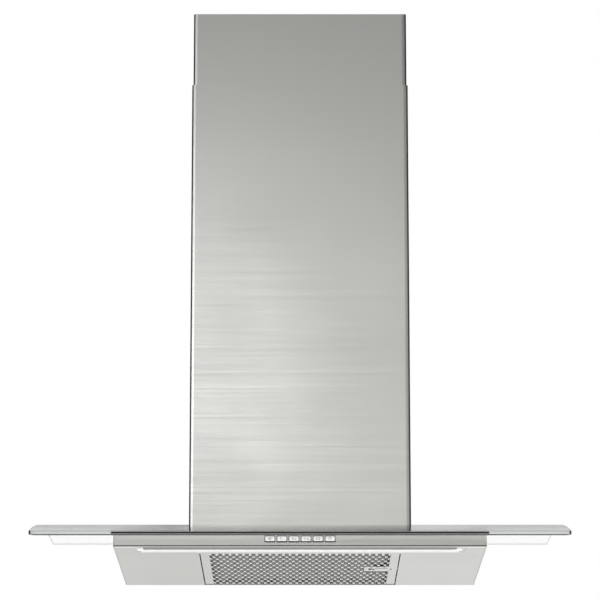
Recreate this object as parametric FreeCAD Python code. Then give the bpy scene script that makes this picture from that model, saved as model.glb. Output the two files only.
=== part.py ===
import FreeCAD, Part
import math
import os

# Wall mount range hood: a sheet steel body under a bent glass canopy, with a
# telescopic chimney, a centrifugal blower, a hinged grease filter, a lamp
# strip and a row of six push buttons. Millimetres. X runs along the wall,
# +Y points into the wall, which is the plane Y = 0, and Z points up.
# "Reach" is a distance from the wall towards the cook. Heights are counted
# from the flat underside, and put_down sets the origin between the two
# hanging holes.

# Glass canopy
glass_width = 798.0
glass_reach = 500.0
glass_thickness = 6.0
glass_bend_radius = 1887.0
glass_corner_radius = 12.0
glass_edge_round = 1.2
glass_notch_clearance = 3.0
glass_notch_round = 10.0

# Sheet steel body
body_width = 552.0
body_setback = 40.0
body_front_height = 17.4
sheet = 1.0
wall_gap = 2.0
body_bend_radius = 2.0
rear_slope_reach = 78.0
rear_slope_rise = 25.0
screw_flange_reach = 56.0
top_flange = 8.0
gasket_thickness = 3.0
gasket_width = 14.0
gasket_overhang = 1.5

# Gaps between neighbours
seat_gap = 0.1
fit_gap = 0.3
running_gap = 0.05
overrun = 5.0

# Underside panel and lamp
panel_upstand = 5.0
lamp_length = 493.0
lamp_depth = 38.0
lamp_setback = 8.0
lamp_recess = 4.6
lamp_flare = 1.6
lens_thickness = 1.2
lens_inset = 1.8
led_board_length = 440.0
led_board_depth = 12.0
led_board_thickness = 1.4
panel_screw_spacing = 200.0
panel_screw_count = 3

# Push buttons, numbered from the left
button_count = 6
button_pitch = 17.8
button_width = 13.9
button_height = 8.0
button_rise = 11.2
button_stand_out = 1.0
button_travel = 1.5
button_corner_radius = 1.2
button_depth = 9.0
button_collar = 0.5
button_collar_thickness = 1.5
button_slot_margin = 0.6
button_side_gap = 0.25
button_stem_radius = 1.6
switch_rest_gap = 0.2
carrier_wall = 0.5
carrier_front = 1.4
carrier_depth = 12.5
carrier_end = 8.0
board_thickness = 1.6
switch_side = 5.0
switch_depth = 2.0

# Grease filter
filter_width = 299.0
filter_rear_reach = 81.0
filter_thickness = 9.0
filter_setback = 70.0
filter_lift = 1.0
filter_opening_gap = 1.5
filter_rim = 13.0
filter_end_rim = 4.0
filter_metal = 1.0
net_thickness = 0.8
net_pitch_across = 18.0
net_pitch_along = 28.0
net_strand = 3.0
net_margin = 2.5
core_gap = 0.3
core_metal = 0.6
core_fold_pitch = 12.0
hinge_inset = 3.0
hinge_rise = 6.0
hinge_pin_radius = 2.0
hinge_pin_length = 6.0
lug_thickness = 2.0
lug_width = 12.0
lug_height = 10.0

# Filter latch on the right rim
latch_width = 12.0
latch_thickness = 1.4
latch_travel = 3.6
latch_free_gap = 0.1
latch_plate_length = 37.8
latch_plate_width = 40.0
latch_slot_inset = 6.8
latch_slot_length = 9.5
latch_slot_width = 19.0
latch_tab_width = 15.0
latch_tab_drop = 1.0
latch_tab_thickness = 1.6
latch_rib_inset = 17.0
latch_rib_length = 19.0
latch_rib_width = 16.0
latch_rib_drop = 0.6
latch_tongue_width = 8.0
latch_tongue_length = 10.0
latch_mark_inset = 8.7
latch_mark_width = 1.6
latch_mark_length = 18.0
latch_leaf_length = 20.0
latch_leaf_width = 8.0
latch_leaf_thickness = 0.5

# Motor box behind the chimney, and its hanging plate
box_width = 280.0
box_front_gap = 14.0
box_height = 265.0
box_flange = 15.0
lid_flange = 12.0
hang_rise = 190.0
hang_spacing = 210.0
hang_hole_radius = 4.0
hang_access_radius = 8.0
hang_plate_width = 250.0
hang_plate_height = 70.0
lower_hole_rise = 52.0
lower_hole_spacing = 360.0
lower_hole_radius = 3.0

# Blower housing: a four centre volute round the impeller
blower_axis_reach = 112.0
blower_axis_height = 146.0
blower_half_width = 58.0
blower_wall = 2.0
volute_gap = 8.0
volute_step = 12.0
tongue_offset = 30.0
tongue_round = 8.0
inlet_radius = 58.0
inlet_lip = 3.0
outlet_flange = 18.0
outlet_lip = 8.0

# Impeller and motor
impeller_radius = 72.0
impeller_half_width = 46.0
blade_count = 24
blade_depth = 12.0
blade_thickness = 1.0
blade_sweep = 12.0
blade_bow = 4.0
impeller_ring = 1.5
impeller_disc = 2.0
hub_radius = 11.0
hub_left = 14.0
hub_right = 6.0
shaft_radius = 4.0
shaft_tail = 16.0
motor_radius = 42.0
motor_face = 12.0
motor_boss_radius = 14.0
motor_boss = 4.0
motor_fin_depth = 2.0
motor_fin_pitch = 9.0
motor_fin_width = 3.0
bush_length = 4.0
bush_radius = 6.0
bush_bore = 2.2
bush_circle = 69.0
bush_count = 3
spider_thickness = 2.0
spider_hub = 30.0
spider_arm_width = 16.0

# Outlet collar with the two non-return flaps
collar_reach = 150.0
collar_radius = 74.5
collar_wall = 2.0
collar_transition = 30.0
collar_straight = 50.0
collar_neck = 6.0
spigot_sleeve_wall = 1.5
spigot_sleeve_length = 5.0
collar_lead_in = 1.0
flap_rise = 24.0
flap_thickness = 1.5
flap_rim_gap = 1.5
flap_ledge = 4.0
flap_ledge_height = 2.0
flap_pin_radius = 2.0
flap_barrel_radius = 3.8
flap_barrel_gap = 0.8
flap_knuckles = 6

# Electrical pieces inside the motor box
power_box_width = 58.0
power_box_length = 70.0
power_box_tall = 60.0
power_box_reach = 20.0
power_box_rise = 190.0
power_box_round = 4.0
capacitor_radius = 15.0
capacitor_length = 55.0
capacitor_front_gap = 26.0
capacitor_rise = 150.0
capacitor_side_gap = 5.0
clip_band = 1.5
clip_height = 12.0
gland_side_place = 109.0
gland_reach = 55.0
gland_bore_radius = 4.0
gland_neck_radius = 8.0
gland_flange_radius = 11.0
gland_above = 8.0
gland_below = 8.0

# Chimney
chimney_width = 343.0
chimney_front_gap = 7.0
chimney_top = 776.0
chimney_bend_radius = 3.5
chimney_flange = 14.0
chimney_wall_gap = 1.0
chimney_slide_gap = 0.9
upper_top = 895.0
upper_length = 480.0
bracket_height = 40.0
bracket_thickness = 1.5
bracket_drop = 4.0
bracket_ear = 45.0
bracket_hole_spacing = 240.0
bracket_hole_radius = 3.5
bracket_notch_gap = 3.0
clip_plate = 1.5
clip_glass_gap = 6.6
clip_tall = 30.0
clip_long = 40.0
clip_place_reach = 160.0

# Screws
screw_radius = 2.0
screw_head_radius = 3.8
screw_head_height = 1.6
screw_grip = 6.0
glass_screw_radius = 2.5
glass_screw_head = 5.0
glass_screw_head_height = 3.0
glass_hole_radius = 4.0
glass_screw_side_gap = 17.0
glass_screw_reaches = (60.0, 200.0)
washer_radius = 8.0
washer_thickness = 1.5

body_reach = glass_reach - body_setback
skin_lift = -gasket_thickness
skin_drop = glass_bend_radius - math.sqrt((glass_bend_radius + skin_lift)**2 - body_reach**2)
glass_rear_height = body_front_height + skin_drop
clip_rise = glass_rear_height + glass_thickness + clip_glass_gap + clip_tall
glass_top_lift = glass_thickness
volute_start = impeller_radius + volute_gap + volute_step / 2
outlet_front = blower_axis_reach + volute_start + 2.5 * volute_step
outlet_rear = blower_axis_reach + tongue_offset
box_half = box_width / 2
box_reach = outlet_front + box_front_gap
box_inner_top = box_height - sheet
panel_front = body_reach - sheet - fit_gap
panel_rear = wall_gap + sheet + fit_gap
panel_half = body_width / 2 - sheet - fit_gap
lamp_front = body_reach - lamp_setback
lamp_rear = lamp_front - lamp_depth
filter_front = body_reach - filter_setback
filter_rear = filter_rear_reach
filter_length = filter_front - filter_rear
filter_half = filter_width / 2
filter_middle = (filter_front + filter_rear) / 2
filter_top = filter_lift + filter_thickness
hinge_x = hinge_inset - filter_half
latch_reach_out = filter_opening_gap + latch_travel - latch_free_gap
glass_screw_x = box_half + glass_screw_side_gap
capacitor_reach = box_reach - sheet - capacitor_front_gap - capacitor_radius
chimney_reach = box_reach + chimney_front_gap + sheet
upper_half = chimney_width / 2 - sheet - chimney_slide_gap
upper_front = chimney_reach - sheet - chimney_slide_gap
upper_rear = chimney_wall_gap + sheet + chimney_slide_gap


def vec(x, reach, z):
    return FreeCAD.Vector(x, -reach, z)


def block(x0, x1, far, near, z0, z1):
    return Part.makeBox(x1 - x0, far - near, z1 - z0, vec(x0, far, z0))


def rod_x(radius, x0, x1, reach, z):
    return Part.makeCylinder(radius, x1 - x0, vec(x0, reach, z), FreeCAD.Vector(1, 0, 0))


def rod_y(radius, x, far, near, z):
    return Part.makeCylinder(radius, far - near, vec(x, far, z), FreeCAD.Vector(0, 1, 0))


def rod_z(radius, x, reach, z0, z1):
    return Part.makeCylinder(radius, z1 - z0, vec(x, reach, z0))


def is_upright(edge):
    first, last = edge.Vertexes[0], edge.Vertexes[-1]
    return abs(first.X - last.X) < fit_gap and abs(first.Y - last.Y) < fit_gap


def round_upright(shape, radius, keep):
    edges = [edge for edge in shape.Edges if is_upright(edge) and keep(edge.CenterOfMass)]
    return shape.makeFillet(radius, edges)


def joined(shapes):
    whole = shapes[0]
    for shape in shapes[1:]:
        whole = whole.fuse(shape)
    return whole.removeSplitter()


def compound(shapes):
    return Part.makeCompound(shapes)


# Everything that meets the glass follows this arc, whose axis lies along X in
# the plane of the wall: lift is the height above the glass's lower face.
def bend_height(reach, lift):
    radius = glass_bend_radius + lift
    return glass_rear_height - glass_bend_radius + math.sqrt(radius**2 - reach**2)


def bend_arc(x, near, far, lift):
    middle = (near + far) / 2
    places = [vec(x, reach, bend_height(reach, lift)) for reach in (near, middle, far)]
    return Part.Arc(*places).toShape()


def bent_layer(width, far, near, low_lift, high_lift):
    x = -width / 2
    low = bend_arc(x, near, far, low_lift)
    high = bend_arc(x, far, near, high_lift)
    front = Part.makeLine(low.lastVertex().Point, high.firstVertex().Point)
    rear = Part.makeLine(high.lastVertex().Point, low.firstVertex().Point)
    return Part.Face(Part.Wire([low, front, high, rear])).extrude(FreeCAD.Vector(width, 0, 0))


def under_bend(width, far, near, floor, lift):
    x = -width / 2
    top = bend_arc(x, near, far, lift)
    places = [top.lastVertex().Point, vec(x, far, floor), vec(x, near, floor), top.firstVertex().Point]
    sides = [Part.makeLine(places[i], places[i + 1]) for i in range(3)]
    return Part.Face(Part.Wire([top] + sides)).extrude(FreeCAD.Vector(width, 0, 0))


def slope_height(reach):
    return rear_slope_rise * (rear_slope_reach - reach) / (rear_slope_reach - wall_gap)


def outline_block(width, places):
    points = [vec(-width / 2, reach, z) for reach, z in places]
    return Part.Face(Part.makePolygon(points + points[:1])).extrude(FreeCAD.Vector(width, 0, 0))


def screw_down(x, reach, seat, radius, head_radius, head_height, grip):
    head = rod_z(head_radius, x, reach, seat, seat + head_height)
    top_edge = max(head.Edges, key=lambda edge: edge.CenterOfMass.z)
    head = head.makeFillet(head_height / 2, [top_edge])
    return head.fuse(rod_z(radius, x, reach, seat - grip, seat))


# The shell is one folded sheet: front strip, two sides and the back, with a
# flange turned in at the bottom of the back for the panel's screws.
def body_shell():
    outer = under_bend(body_width, body_reach, wall_gap, 0, skin_lift)
    corner = [(rear_slope_reach, 0), (wall_gap, slope_height(wall_gap)), (wall_gap, -overrun),
              (rear_slope_reach, -overrun)]
    outer = outer.cut(outline_block(body_width, corner))
    outer = round_upright(outer, body_bend_radius, lambda place: place.y < -rear_slope_reach)
    half = body_width / 2 - sheet
    shell = outer.cut(block(-half, half, body_reach - sheet, wall_gap + sheet, -overrun, box_height))
    lift = sheet + seat_gap
    flange = [(reach, slope_height(reach) + lift) for reach in (wall_gap, screw_flange_reach)]
    flange += [(reach, z + sheet) for reach, z in reversed(flange)]
    shell = shell.fuse(outline_block(2 * (panel_half - sheet - fit_gap), flange)).removeSplitter()
    for hole in panel_screw_holes():
        shell = shell.cut(hole)
    for x in button_places():
        side = button_width / 2 + button_slot_margin
        tall = button_height / 2 + button_slot_margin
        hole = block(x - side, x + side, body_reach + overrun, body_reach - sheet - fit_gap,
                     button_rise - tall, button_rise + tall)
        shell = shell.cut(round_along_y(hole, button_corner_radius))
    for side in (-1, 1):
        x = side * lower_hole_spacing / 2
        shell = shell.cut(rod_y(lower_hole_radius, x, wall_gap + overrun, 0, lower_hole_rise))
    return shell


# The bent top sheet carries the glass, and is welded to the shell by the
# flanges turned down at its sides. It is open under the motor box.
def body_top():
    width = body_width - 2 * (sheet + seat_gap)
    front = body_reach - sheet - seat_gap
    rear = wall_gap + sheet + seat_gap
    top = bent_layer(width, front, rear, skin_lift - top_flange, skin_lift)
    top = top.cut(bent_layer(width - 2 * sheet, front + overrun, rear - overrun,
                             skin_lift - top_flange - overrun, skin_lift - sheet))
    top = top.cut(block(sheet - box_half, box_half - sheet, box_reach - sheet, 0, 0, box_height))
    for x, reach in glass_screw_places():
        top = top.cut(rod_z(glass_hole_radius, x, reach, 0, box_height))
    return top


def button_slot_half():
    return (button_count - 1) * button_pitch / 2 + button_width / 2 + button_slot_margin


def round_along_y(shape, radius):
    edges = []
    for edge in shape.Edges:
        first, last = edge.Vertexes[0], edge.Vertexes[-1]
        if abs(first.X - last.X) < running_gap and abs(first.Z - last.Z) < running_gap:
            edges.append(edge)
    return shape.makeFillet(radius, edges)


def lamp_slot(inset, z0, z1):
    radius = lamp_depth / 2 - inset
    x = lamp_length / 2 - lamp_depth / 2
    middle = (lamp_front + lamp_rear) / 2
    bar = block(-x, x, middle + radius, middle - radius, z0, z1)
    ends = [rod_z(radius, side * x, middle, z0, z1) for side in (-1, 1)]
    return joined([bar] + ends)


# The pressed recess flares towards the panel's lower face.
def lamp_recess_form(grow, height):
    radius = lamp_depth / 2 + grow
    wide = radius + lamp_flare
    x = (lamp_length - lamp_depth) / 2
    middle = (lamp_front + lamp_rear) / 2
    places = [(middle + wide, 0), (middle + radius, lamp_flare), (middle + radius, height)]
    places += [(2 * middle - reach, z) for reach, z in reversed(places)]
    form = [outline_block(2 * x, places)]
    for side in (-1, 1):
        form.append(Part.makeCone(wide, radius, lamp_flare, vec(side * x, middle, 0)))
        form.append(rod_z(radius, side * x, middle, 0, height))
    return joined(form)


# The underside is a shallow pan: flat under the filter, sloping up to the
# wall behind it, with the lamp recess pressed into its front.
def underside_panel():
    def tray(far, near, half, lift, top):
        places = [(far, lift), (rear_slope_reach, lift), (near, slope_height(near) + lift),
                  (near, slope_height(near) + top), (rear_slope_reach, top), (far, top)]
        return outline_block(2 * half, places)

    outer = tray(panel_front, panel_rear, panel_half, 0, panel_upstand)
    inner = tray(panel_front - sheet, panel_rear - overrun, panel_half - sheet, sheet,
                 panel_upstand + overrun)
    pan = outer.cut(inner).fuse(lamp_recess_form(sheet, lamp_recess + sheet))
    pan = pan.cut(lamp_recess_form(0, lamp_recess))
    gap = filter_opening_gap
    pan = pan.cut(block(-filter_half - gap, filter_half + gap, filter_front + gap,
                        filter_rear - gap, -overrun, overrun))
    for hole in panel_screw_holes():
        pan = pan.cut(hole)
    return pan.removeSplitter()


def panel_screw_places():
    reach = (rear_slope_reach + wall_gap) / 2
    first = -(panel_screw_count - 1) / 2
    return [((first + i) * panel_screw_spacing, reach, slope_height(reach))
            for i in range(panel_screw_count)]


def square_to_slope(shape, place):
    tilt = math.degrees(math.atan2(rear_slope_rise, rear_slope_reach - wall_gap))
    shape.rotate(FreeCAD.Vector(), FreeCAD.Vector(1, 0, 0), 180 + tilt)
    shape.translate(vec(*place))
    return shape


def panel_screw_holes():
    return [square_to_slope(rod_z(screw_radius + seat_gap, 0, 0, -overrun, overrun), place)
            for place in panel_screw_places()]


# The panel's screws enter from below, square to the slope, through the panel
# and into the shell's rear flange.
def panel_screws():
    screws = []
    for place in panel_screw_places():
        screw = screw_down(0, 0, 0, screw_radius, screw_head_radius, screw_head_height, screw_grip)
        screws.append(square_to_slope(screw, place))
    return compound(screws)


def light_lens():
    return lamp_slot(fit_gap, lens_inset, lens_inset + lens_thickness)


def led_board():
    middle = (lamp_front + lamp_rear) / 2
    half = led_board_depth / 2
    base = lamp_recess - led_board_thickness
    return block(-led_board_length / 2, led_board_length / 2, middle + half, middle - half,
                 base, lamp_recess)


def button_places():
    first = -(button_count - 1) * button_pitch / 2
    return [first + i * button_pitch for i in range(button_count)]


def button_front():
    return body_reach + button_stand_out


def carrier_face():
    return body_reach - sheet


# The buttons slide in a dark carrier behind the front strip. Its front plate
# shows between them, and it stays clear of the lamp recess below.
def button_carrier():
    half = button_slot_half() + carrier_end
    low = button_rise - button_height / 2 - button_collar - button_side_gap
    high = button_rise + button_height / 2 + button_collar + button_side_gap
    face = carrier_face() - seat_gap
    carrier = block(-half, half, face, face - carrier_depth, low - carrier_wall, high + carrier_wall)
    carrier = carrier.cut(block(carrier_wall - half, half - carrier_wall, face - carrier_front,
                                face - carrier_depth - overrun, low, high))
    for x in button_places():
        hole = block(x - button_width / 2 - button_side_gap, x + button_width / 2 + button_side_gap,
                     face + overrun, face - carrier_front - overrun,
                     button_rise - button_height / 2 - button_side_gap,
                     button_rise + button_height / 2 + button_side_gap)
        carrier = carrier.cut(round_along_y(hole, button_corner_radius))
    return carrier


def board_front():
    return carrier_face() - seat_gap - carrier_depth


def control_board():
    half = button_slot_half() + carrier_end
    reach = board_front()
    low = button_rise - button_height / 2 - button_collar - button_side_gap - carrier_wall
    high = button_rise + button_height / 2 + button_collar + button_side_gap + carrier_wall
    return block(-half, half, reach, reach - board_thickness, low, high)


def button_switches():
    half = switch_side / 2
    face = board_front() + switch_depth
    switches = []
    for x in button_places():
        body = block(x - half, x + half, face, board_front(), button_rise - half, button_rise + half)
        switches.append(body)
    return compound(switches)


def button(x):
    front = button_front()
    cap = block(x - button_width / 2, x + button_width / 2, front, front - button_depth,
                button_rise - button_height / 2, button_rise + button_height / 2)
    cap = round_along_y(cap, button_corner_radius)
    collar_face = carrier_face() - seat_gap - carrier_front - fit_gap
    collar = block(x - button_width / 2 - button_collar, x + button_width / 2 + button_collar,
                   collar_face, collar_face - button_collar_thickness,
                   button_rise - button_height / 2 - button_collar,
                   button_rise + button_height / 2 + button_collar)
    tip = board_front() + switch_depth + switch_rest_gap + button_travel
    stem = rod_y(button_stem_radius, x, front - button_depth, tip, button_rise)
    return joined([cap, collar, stem])


# The canopy rests on the gasket with its rear edge at the wall. Its notch
# lets the motor box through, and the chimney covers it.
def glass_canopy():
    glass = bent_layer(glass_width, glass_reach, wall_gap, 0, glass_top_lift)
    glass = round_upright(glass, glass_corner_radius, lambda place: place.y < -body_reach)
    notch = block(-box_half - glass_notch_clearance, box_half + glass_notch_clearance,
                  box_reach + glass_notch_clearance, -overrun, 0, box_height)
    notch = round_upright(notch, glass_notch_round, lambda place: place.y < -box_reach)
    glass = glass.cut(notch)
    for x, reach in glass_screw_places():
        glass = glass.cut(rod_z(glass_hole_radius, x, reach, 0, box_height))
    border = []
    for edge in glass.Edges:
        place = edge.CenterOfMass
        if not is_upright(edge) and (place.y < -body_reach or abs(place.x) > body_width / 2):
            border.append(edge)
    return glass.makeFillet(glass_edge_round, border)


def glass_screw_places():
    return [(side * glass_screw_x, reach) for side in (-1, 1) for reach in glass_screw_reaches]


def glass_gasket():
    outer = body_width / 2 + gasket_overhang
    layer = bent_layer(2 * outer, body_reach + gasket_overhang, wall_gap, skin_lift + seat_gap, -seat_gap)
    hole = block(gasket_width - outer, outer - gasket_width,
                 body_reach + gasket_overhang - gasket_width, -overrun, 0, box_height)
    return layer.cut(round_upright(hole, gasket_width / 2, lambda place: place.y < -box_reach))


def glass_washers():
    layer = bent_layer(body_width, body_reach, 0, skin_lift + seat_gap, -seat_gap)
    rings = []
    for x, reach in glass_screw_places():
        bore = rod_z(glass_screw_radius + seat_gap, x, reach, 0, box_height)
        below = rod_z(washer_radius, x, reach, 0, box_height).common(layer)
        seat = bend_height(reach, glass_top_lift) + washer_lift()
        above = rod_z(washer_radius, x, reach, seat, seat + washer_thickness)
        rings += [below.cut(bore), above.cut(bore)]
    return compound(rings)


# A washer lies level on the sloping glass, so it stands on its high side.
def washer_lift():
    steepest = max(glass_screw_reaches)
    return bend_height(steepest - washer_radius, 0) - bend_height(steepest, 0) + seat_gap


def glass_screws():
    screws = []
    for x, reach in glass_screw_places():
        seat = bend_height(reach, glass_top_lift) + washer_lift() + washer_thickness
        tip = bend_height(reach, skin_lift - sheet) - screw_grip
        screws.append(screw_down(x, reach, seat, glass_screw_radius, glass_screw_head,
                                 glass_screw_head_height, seat - tip))
    return compound(screws)


# The motor box stands on the body's top inside the chimney. It is welded up
# from three folded sheets: a wrap round the front and sides, a back and a lid.
def box_sheet(shape):
    return shape.cut(under_bend(body_width, body_reach, 0, -overrun, skin_lift + seat_gap))


def box_wrap():
    outer = block(-box_half, box_half, box_reach, wall_gap, 0, box_height)
    outer = round_upright(outer, body_bend_radius, lambda place: place.y < -wall_gap - fit_gap)
    inner = block(sheet - box_half, box_half - sheet, box_reach - sheet, wall_gap - overrun,
                  -overrun, box_height + overrun)
    return box_sheet(outer.cut(inner))


def box_back():
    half = box_half - sheet - seat_gap
    top = box_inner_top - seat_gap
    outer = block(-half, half, wall_gap + box_flange, wall_gap, 0, top)
    inner = block(sheet - half, half - sheet, wall_gap + box_flange + overrun, wall_gap + sheet,
                  -overrun, top + overrun)
    back = box_sheet(outer.cut(inner))
    for side in (-1, 1):
        back = back.cut(rod_y(hang_access_radius, side * hang_spacing / 2, wall_gap + overrun, 0, hang_rise))
    return back


def box_lid():
    half = box_half - sheet - seat_gap
    front = box_reach - sheet - seat_gap
    flange_rear = wall_gap + box_flange + fit_gap
    lid = block(-half, half, front, wall_gap, box_inner_top, box_height)
    for x in (-half, half - sheet):
        lid = lid.fuse(block(x, x + sheet, front, flange_rear, box_height - lid_flange, box_height))
    lid = lid.removeSplitter().cut(outlet_prism(0, 0, box_inner_top - overrun, box_height + overrun))
    holes = [(-gland_side_place, gland_reach, gland_neck_radius)]
    holes += [(x, reach, screw_radius) for x, reach in outlet_screw_places()]
    for x, reach, radius in holes:
        lid = lid.cut(rod_z(radius + seat_gap, x, reach, box_inner_top - overrun, box_height + overrun))
    return lid


def hanging_plate():
    half = hang_plate_width / 2
    tall = hang_plate_height / 2
    plate = block(-half, half, wall_gap, 0, hang_rise - tall, hang_rise + tall)
    plate = round_along_y(plate, body_bend_radius)
    for side in (-1, 1):
        plate = plate.cut(rod_y(hang_hole_radius, side * hang_spacing / 2, overrun, -overrun, hang_rise))
    return plate


def volute_radii():
    return [volute_start + i * volute_step for i in range(3)]


# The outlet's rectangle, shared by the housing, the lid and the collar.
def outlet_prism(side, end, z0, z1):
    half = blower_half_width - blower_wall + side
    return block(-half, half, outlet_front + end, outlet_rear - end, z0, z1)


def outlet_screw_places():
    x = blower_half_width + outlet_flange / 2
    return [(side * x, reach) for side in (-1, 1)
            for reach in (outlet_front - outlet_lip, outlet_rear + outlet_lip)]


# Quarter arcs about the corners of a small square, each one step larger than
# the last, then the outlet's front wall, its mouth and the tongue.
def volute_face(x, offset, top):
    half_step = volute_step / 2
    radii = [radius + offset for radius in volute_radii()]
    centres = [(half_step, -half_step), (-half_step, -half_step), (-half_step, half_step)]

    def place(along, up):
        return vec(x, blower_axis_reach - along, blower_axis_height + up)

    edges = []
    for i, (radius, (along, up)) in enumerate(zip(radii, centres)):
        marks = []
        for turn in (0, 0.5, 1):
            angle = math.radians(90 - 90 * (i + turn))
            marks.append(place(along + radius * math.cos(angle), up + radius * math.sin(angle)))
        edges.append(Part.Arc(*marks).toShape())
    start = edges[0].firstVertex().Point
    front = -half_step - radii[2]
    rise = top - blower_axis_height
    tongue = offset - tongue_offset
    roof = radii[0] - half_step
    round_off = tongue_round - offset
    bend = round_off * (1 - math.sqrt(0.5))
    corners = [edges[2].lastVertex().Point, place(front, rise), place(tongue, rise),
               place(tongue, roof + round_off)]
    edges += [Part.makeLine(corners[i], corners[i + 1]) for i in range(3)]
    tongue_end = place(tongue + round_off, roof)
    edges.append(Part.Arc(corners[3], place(tongue + bend, roof + bend), tongue_end).toShape())
    edges.append(Part.makeLine(tongue_end, start))
    return Part.Face(Part.Wire(edges))


def blower_housing(side):
    top = box_inner_top
    half = blower_half_width
    outer = volute_face(0, blower_wall, top).extrude(FreeCAD.Vector(half, 0, 0))
    inner = volute_face(0, 0, top + overrun).extrude(FreeCAD.Vector(half - blower_wall, 0, 0))
    lip = rod_x(inlet_radius + inlet_lip, half, half + inlet_lip, blower_axis_reach, blower_axis_height)
    flange = block(0, half + outlet_flange, outlet_front + outlet_lip, outlet_rear - outlet_lip,
                   top - blower_wall, top)
    housing = joined([outer, lip, flange]).cut(inner)
    housing = housing.cut(rod_x(inlet_radius, half - blower_wall - overrun, half + inlet_lip + overrun,
                                blower_axis_reach, blower_axis_height))
    housing = housing.cut(outlet_prism(0, 0, top - overrun, top + overrun))
    for x, reach in outlet_screw_places():
        if x > 0:
            housing = housing.cut(rod_z(screw_radius + seat_gap, x, reach, top - overrun, top + overrun))
    if side < 0:
        housing = housing.mirror(FreeCAD.Vector(), FreeCAD.Vector(1, 0, 0))
    return housing


# Forward curved blades on a middle disc, held at both ends by a ring.
def blade():
    inner_radius = impeller_radius - blade_depth

    def place(radius, angle):
        return vec(-impeller_half_width, blower_axis_reach - radius * math.cos(angle),
                   blower_axis_height - radius * math.sin(angle))

    sweep = blade_sweep / impeller_radius
    bow = sweep / 2 - blade_bow / impeller_radius
    lean = blade_thickness / impeller_radius
    middle_radius = (inner_radius + impeller_radius) / 2
    near = [place(inner_radius, 0), place(middle_radius, bow), place(impeller_radius, sweep)]
    far = [place(impeller_radius, sweep + lean), place(middle_radius, bow + lean),
           place(inner_radius, lean)]
    edges = [Part.Arc(*near).toShape(), Part.makeLine(near[2], far[0]),
             Part.Arc(*far).toShape(), Part.makeLine(far[2], near[0])]
    return Part.Face(Part.Wire(edges)).extrude(FreeCAD.Vector(2 * impeller_half_width, 0, 0))


def impeller():
    axis = (blower_axis_reach, blower_axis_height)
    inner_radius = impeller_radius - blade_depth
    hole = rod_x(inner_radius, -blower_half_width, blower_half_width, *axis)
    rings = []
    for x in (-impeller_half_width, impeller_half_width - impeller_ring):
        rings.append(rod_x(impeller_radius + blade_thickness, x, x + impeller_ring, *axis).cut(hole))
    disc = rod_x(inner_radius + blade_depth / 2, -impeller_disc / 2, impeller_disc / 2, *axis)
    hub = rod_x(hub_radius, -hub_left, hub_right, *axis)
    pieces = rings + [disc, hub]
    one = blade()
    centre = vec(0, *axis)
    for i in range(blade_count):
        copy = one.copy()
        copy.rotate(centre, FreeCAD.Vector(1, 0, 0), 360 * i / blade_count)
        pieces.append(copy)
    wheel = pieces[0].multiFuse(pieces[1:])
    return wheel.cut(rod_x(shaft_radius + running_gap, -hub_left - overrun, hub_right + overrun, *axis))


def spider_face():
    return blower_half_width + bush_length


def motor_shaft():
    return rod_x(shaft_radius, -shaft_tail, spider_face() - seat_gap, blower_axis_reach, blower_axis_height)


def motor():
    axis = (blower_axis_reach, blower_axis_height)
    can = rod_x(motor_radius, motor_face, spider_face(), *axis)
    x = motor_face + motor_fin_pitch
    while x + motor_fin_width < spider_face() - motor_fin_width:
        ring = rod_x(motor_radius + overrun, x, x + motor_fin_width, *axis)
        can = can.cut(ring.cut(rod_x(motor_radius - motor_fin_depth, x, x + motor_fin_width, *axis)))
        x += motor_fin_pitch
    boss = rod_x(motor_boss_radius, motor_face - motor_boss, motor_face, *axis)
    bore = rod_x(shaft_radius + running_gap, 0, spider_face() + overrun, *axis)
    return can.fuse(boss).cut(bore)


def bush_places():
    places = []
    for i in range(bush_count):
        angle = math.radians(90 + 360 * i / bush_count)
        places.append((blower_axis_reach - bush_circle * math.cos(angle),
                       blower_axis_height + bush_circle * math.sin(angle)))
    return places


def motor_bushes():
    bushes = []
    for reach, z in bush_places():
        bush = rod_x(bush_radius, blower_half_width, spider_face(), reach, z)
        bushes.append(bush.cut(rod_x(bush_bore, blower_half_width, spider_face(), reach, z)))
    return compound(bushes)


# Three arms carry the motor in the right inlet, on rubber bushes.
def motor_spider():
    axis = (blower_axis_reach, blower_axis_height)
    face = spider_face()
    spider = rod_x(spider_hub, face, face + spider_thickness, *axis)
    for i, (reach, z) in enumerate(bush_places()):
        arm = block(face, face + spider_thickness, blower_axis_reach + spider_arm_width / 2,
                    blower_axis_reach - spider_arm_width / 2, blower_axis_height,
                    blower_axis_height + bush_circle)
        arm.rotate(vec(face, *axis), FreeCAD.Vector(1, 0, 0), 360 * i / bush_count)
        spider = spider.fuse(arm)
        spider = spider.fuse(rod_x(spider_arm_width / 2, face, face + spider_thickness, reach, z))
        spider = spider.cut(rod_x(bush_bore, face - overrun, face + overrun, reach, z))
    return spider.removeSplitter()


def ring_wire(radius, z):
    places = []
    for i in range(9):
        angle = math.radians(45 + 45 * i)
        places.append(vec(radius * math.cos(angle), collar_reach - radius * math.sin(angle), z))
    arcs = [Part.Arc(places[i], places[i + 1], places[i + 2]).toShape() for i in (0, 2, 4, 6)]
    return Part.Wire(arcs)


def outlet_wire(margin, z):
    half = blower_half_width - blower_wall + margin
    front = outlet_front + margin
    rear = outlet_rear - margin
    places = [vec(half, rear, z), vec(-half, rear, z), vec(-half, front, z), vec(half, front, z)]
    return Part.makePolygon(places + places[:1])


def collar_base():
    return box_height + collar_transition


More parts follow.
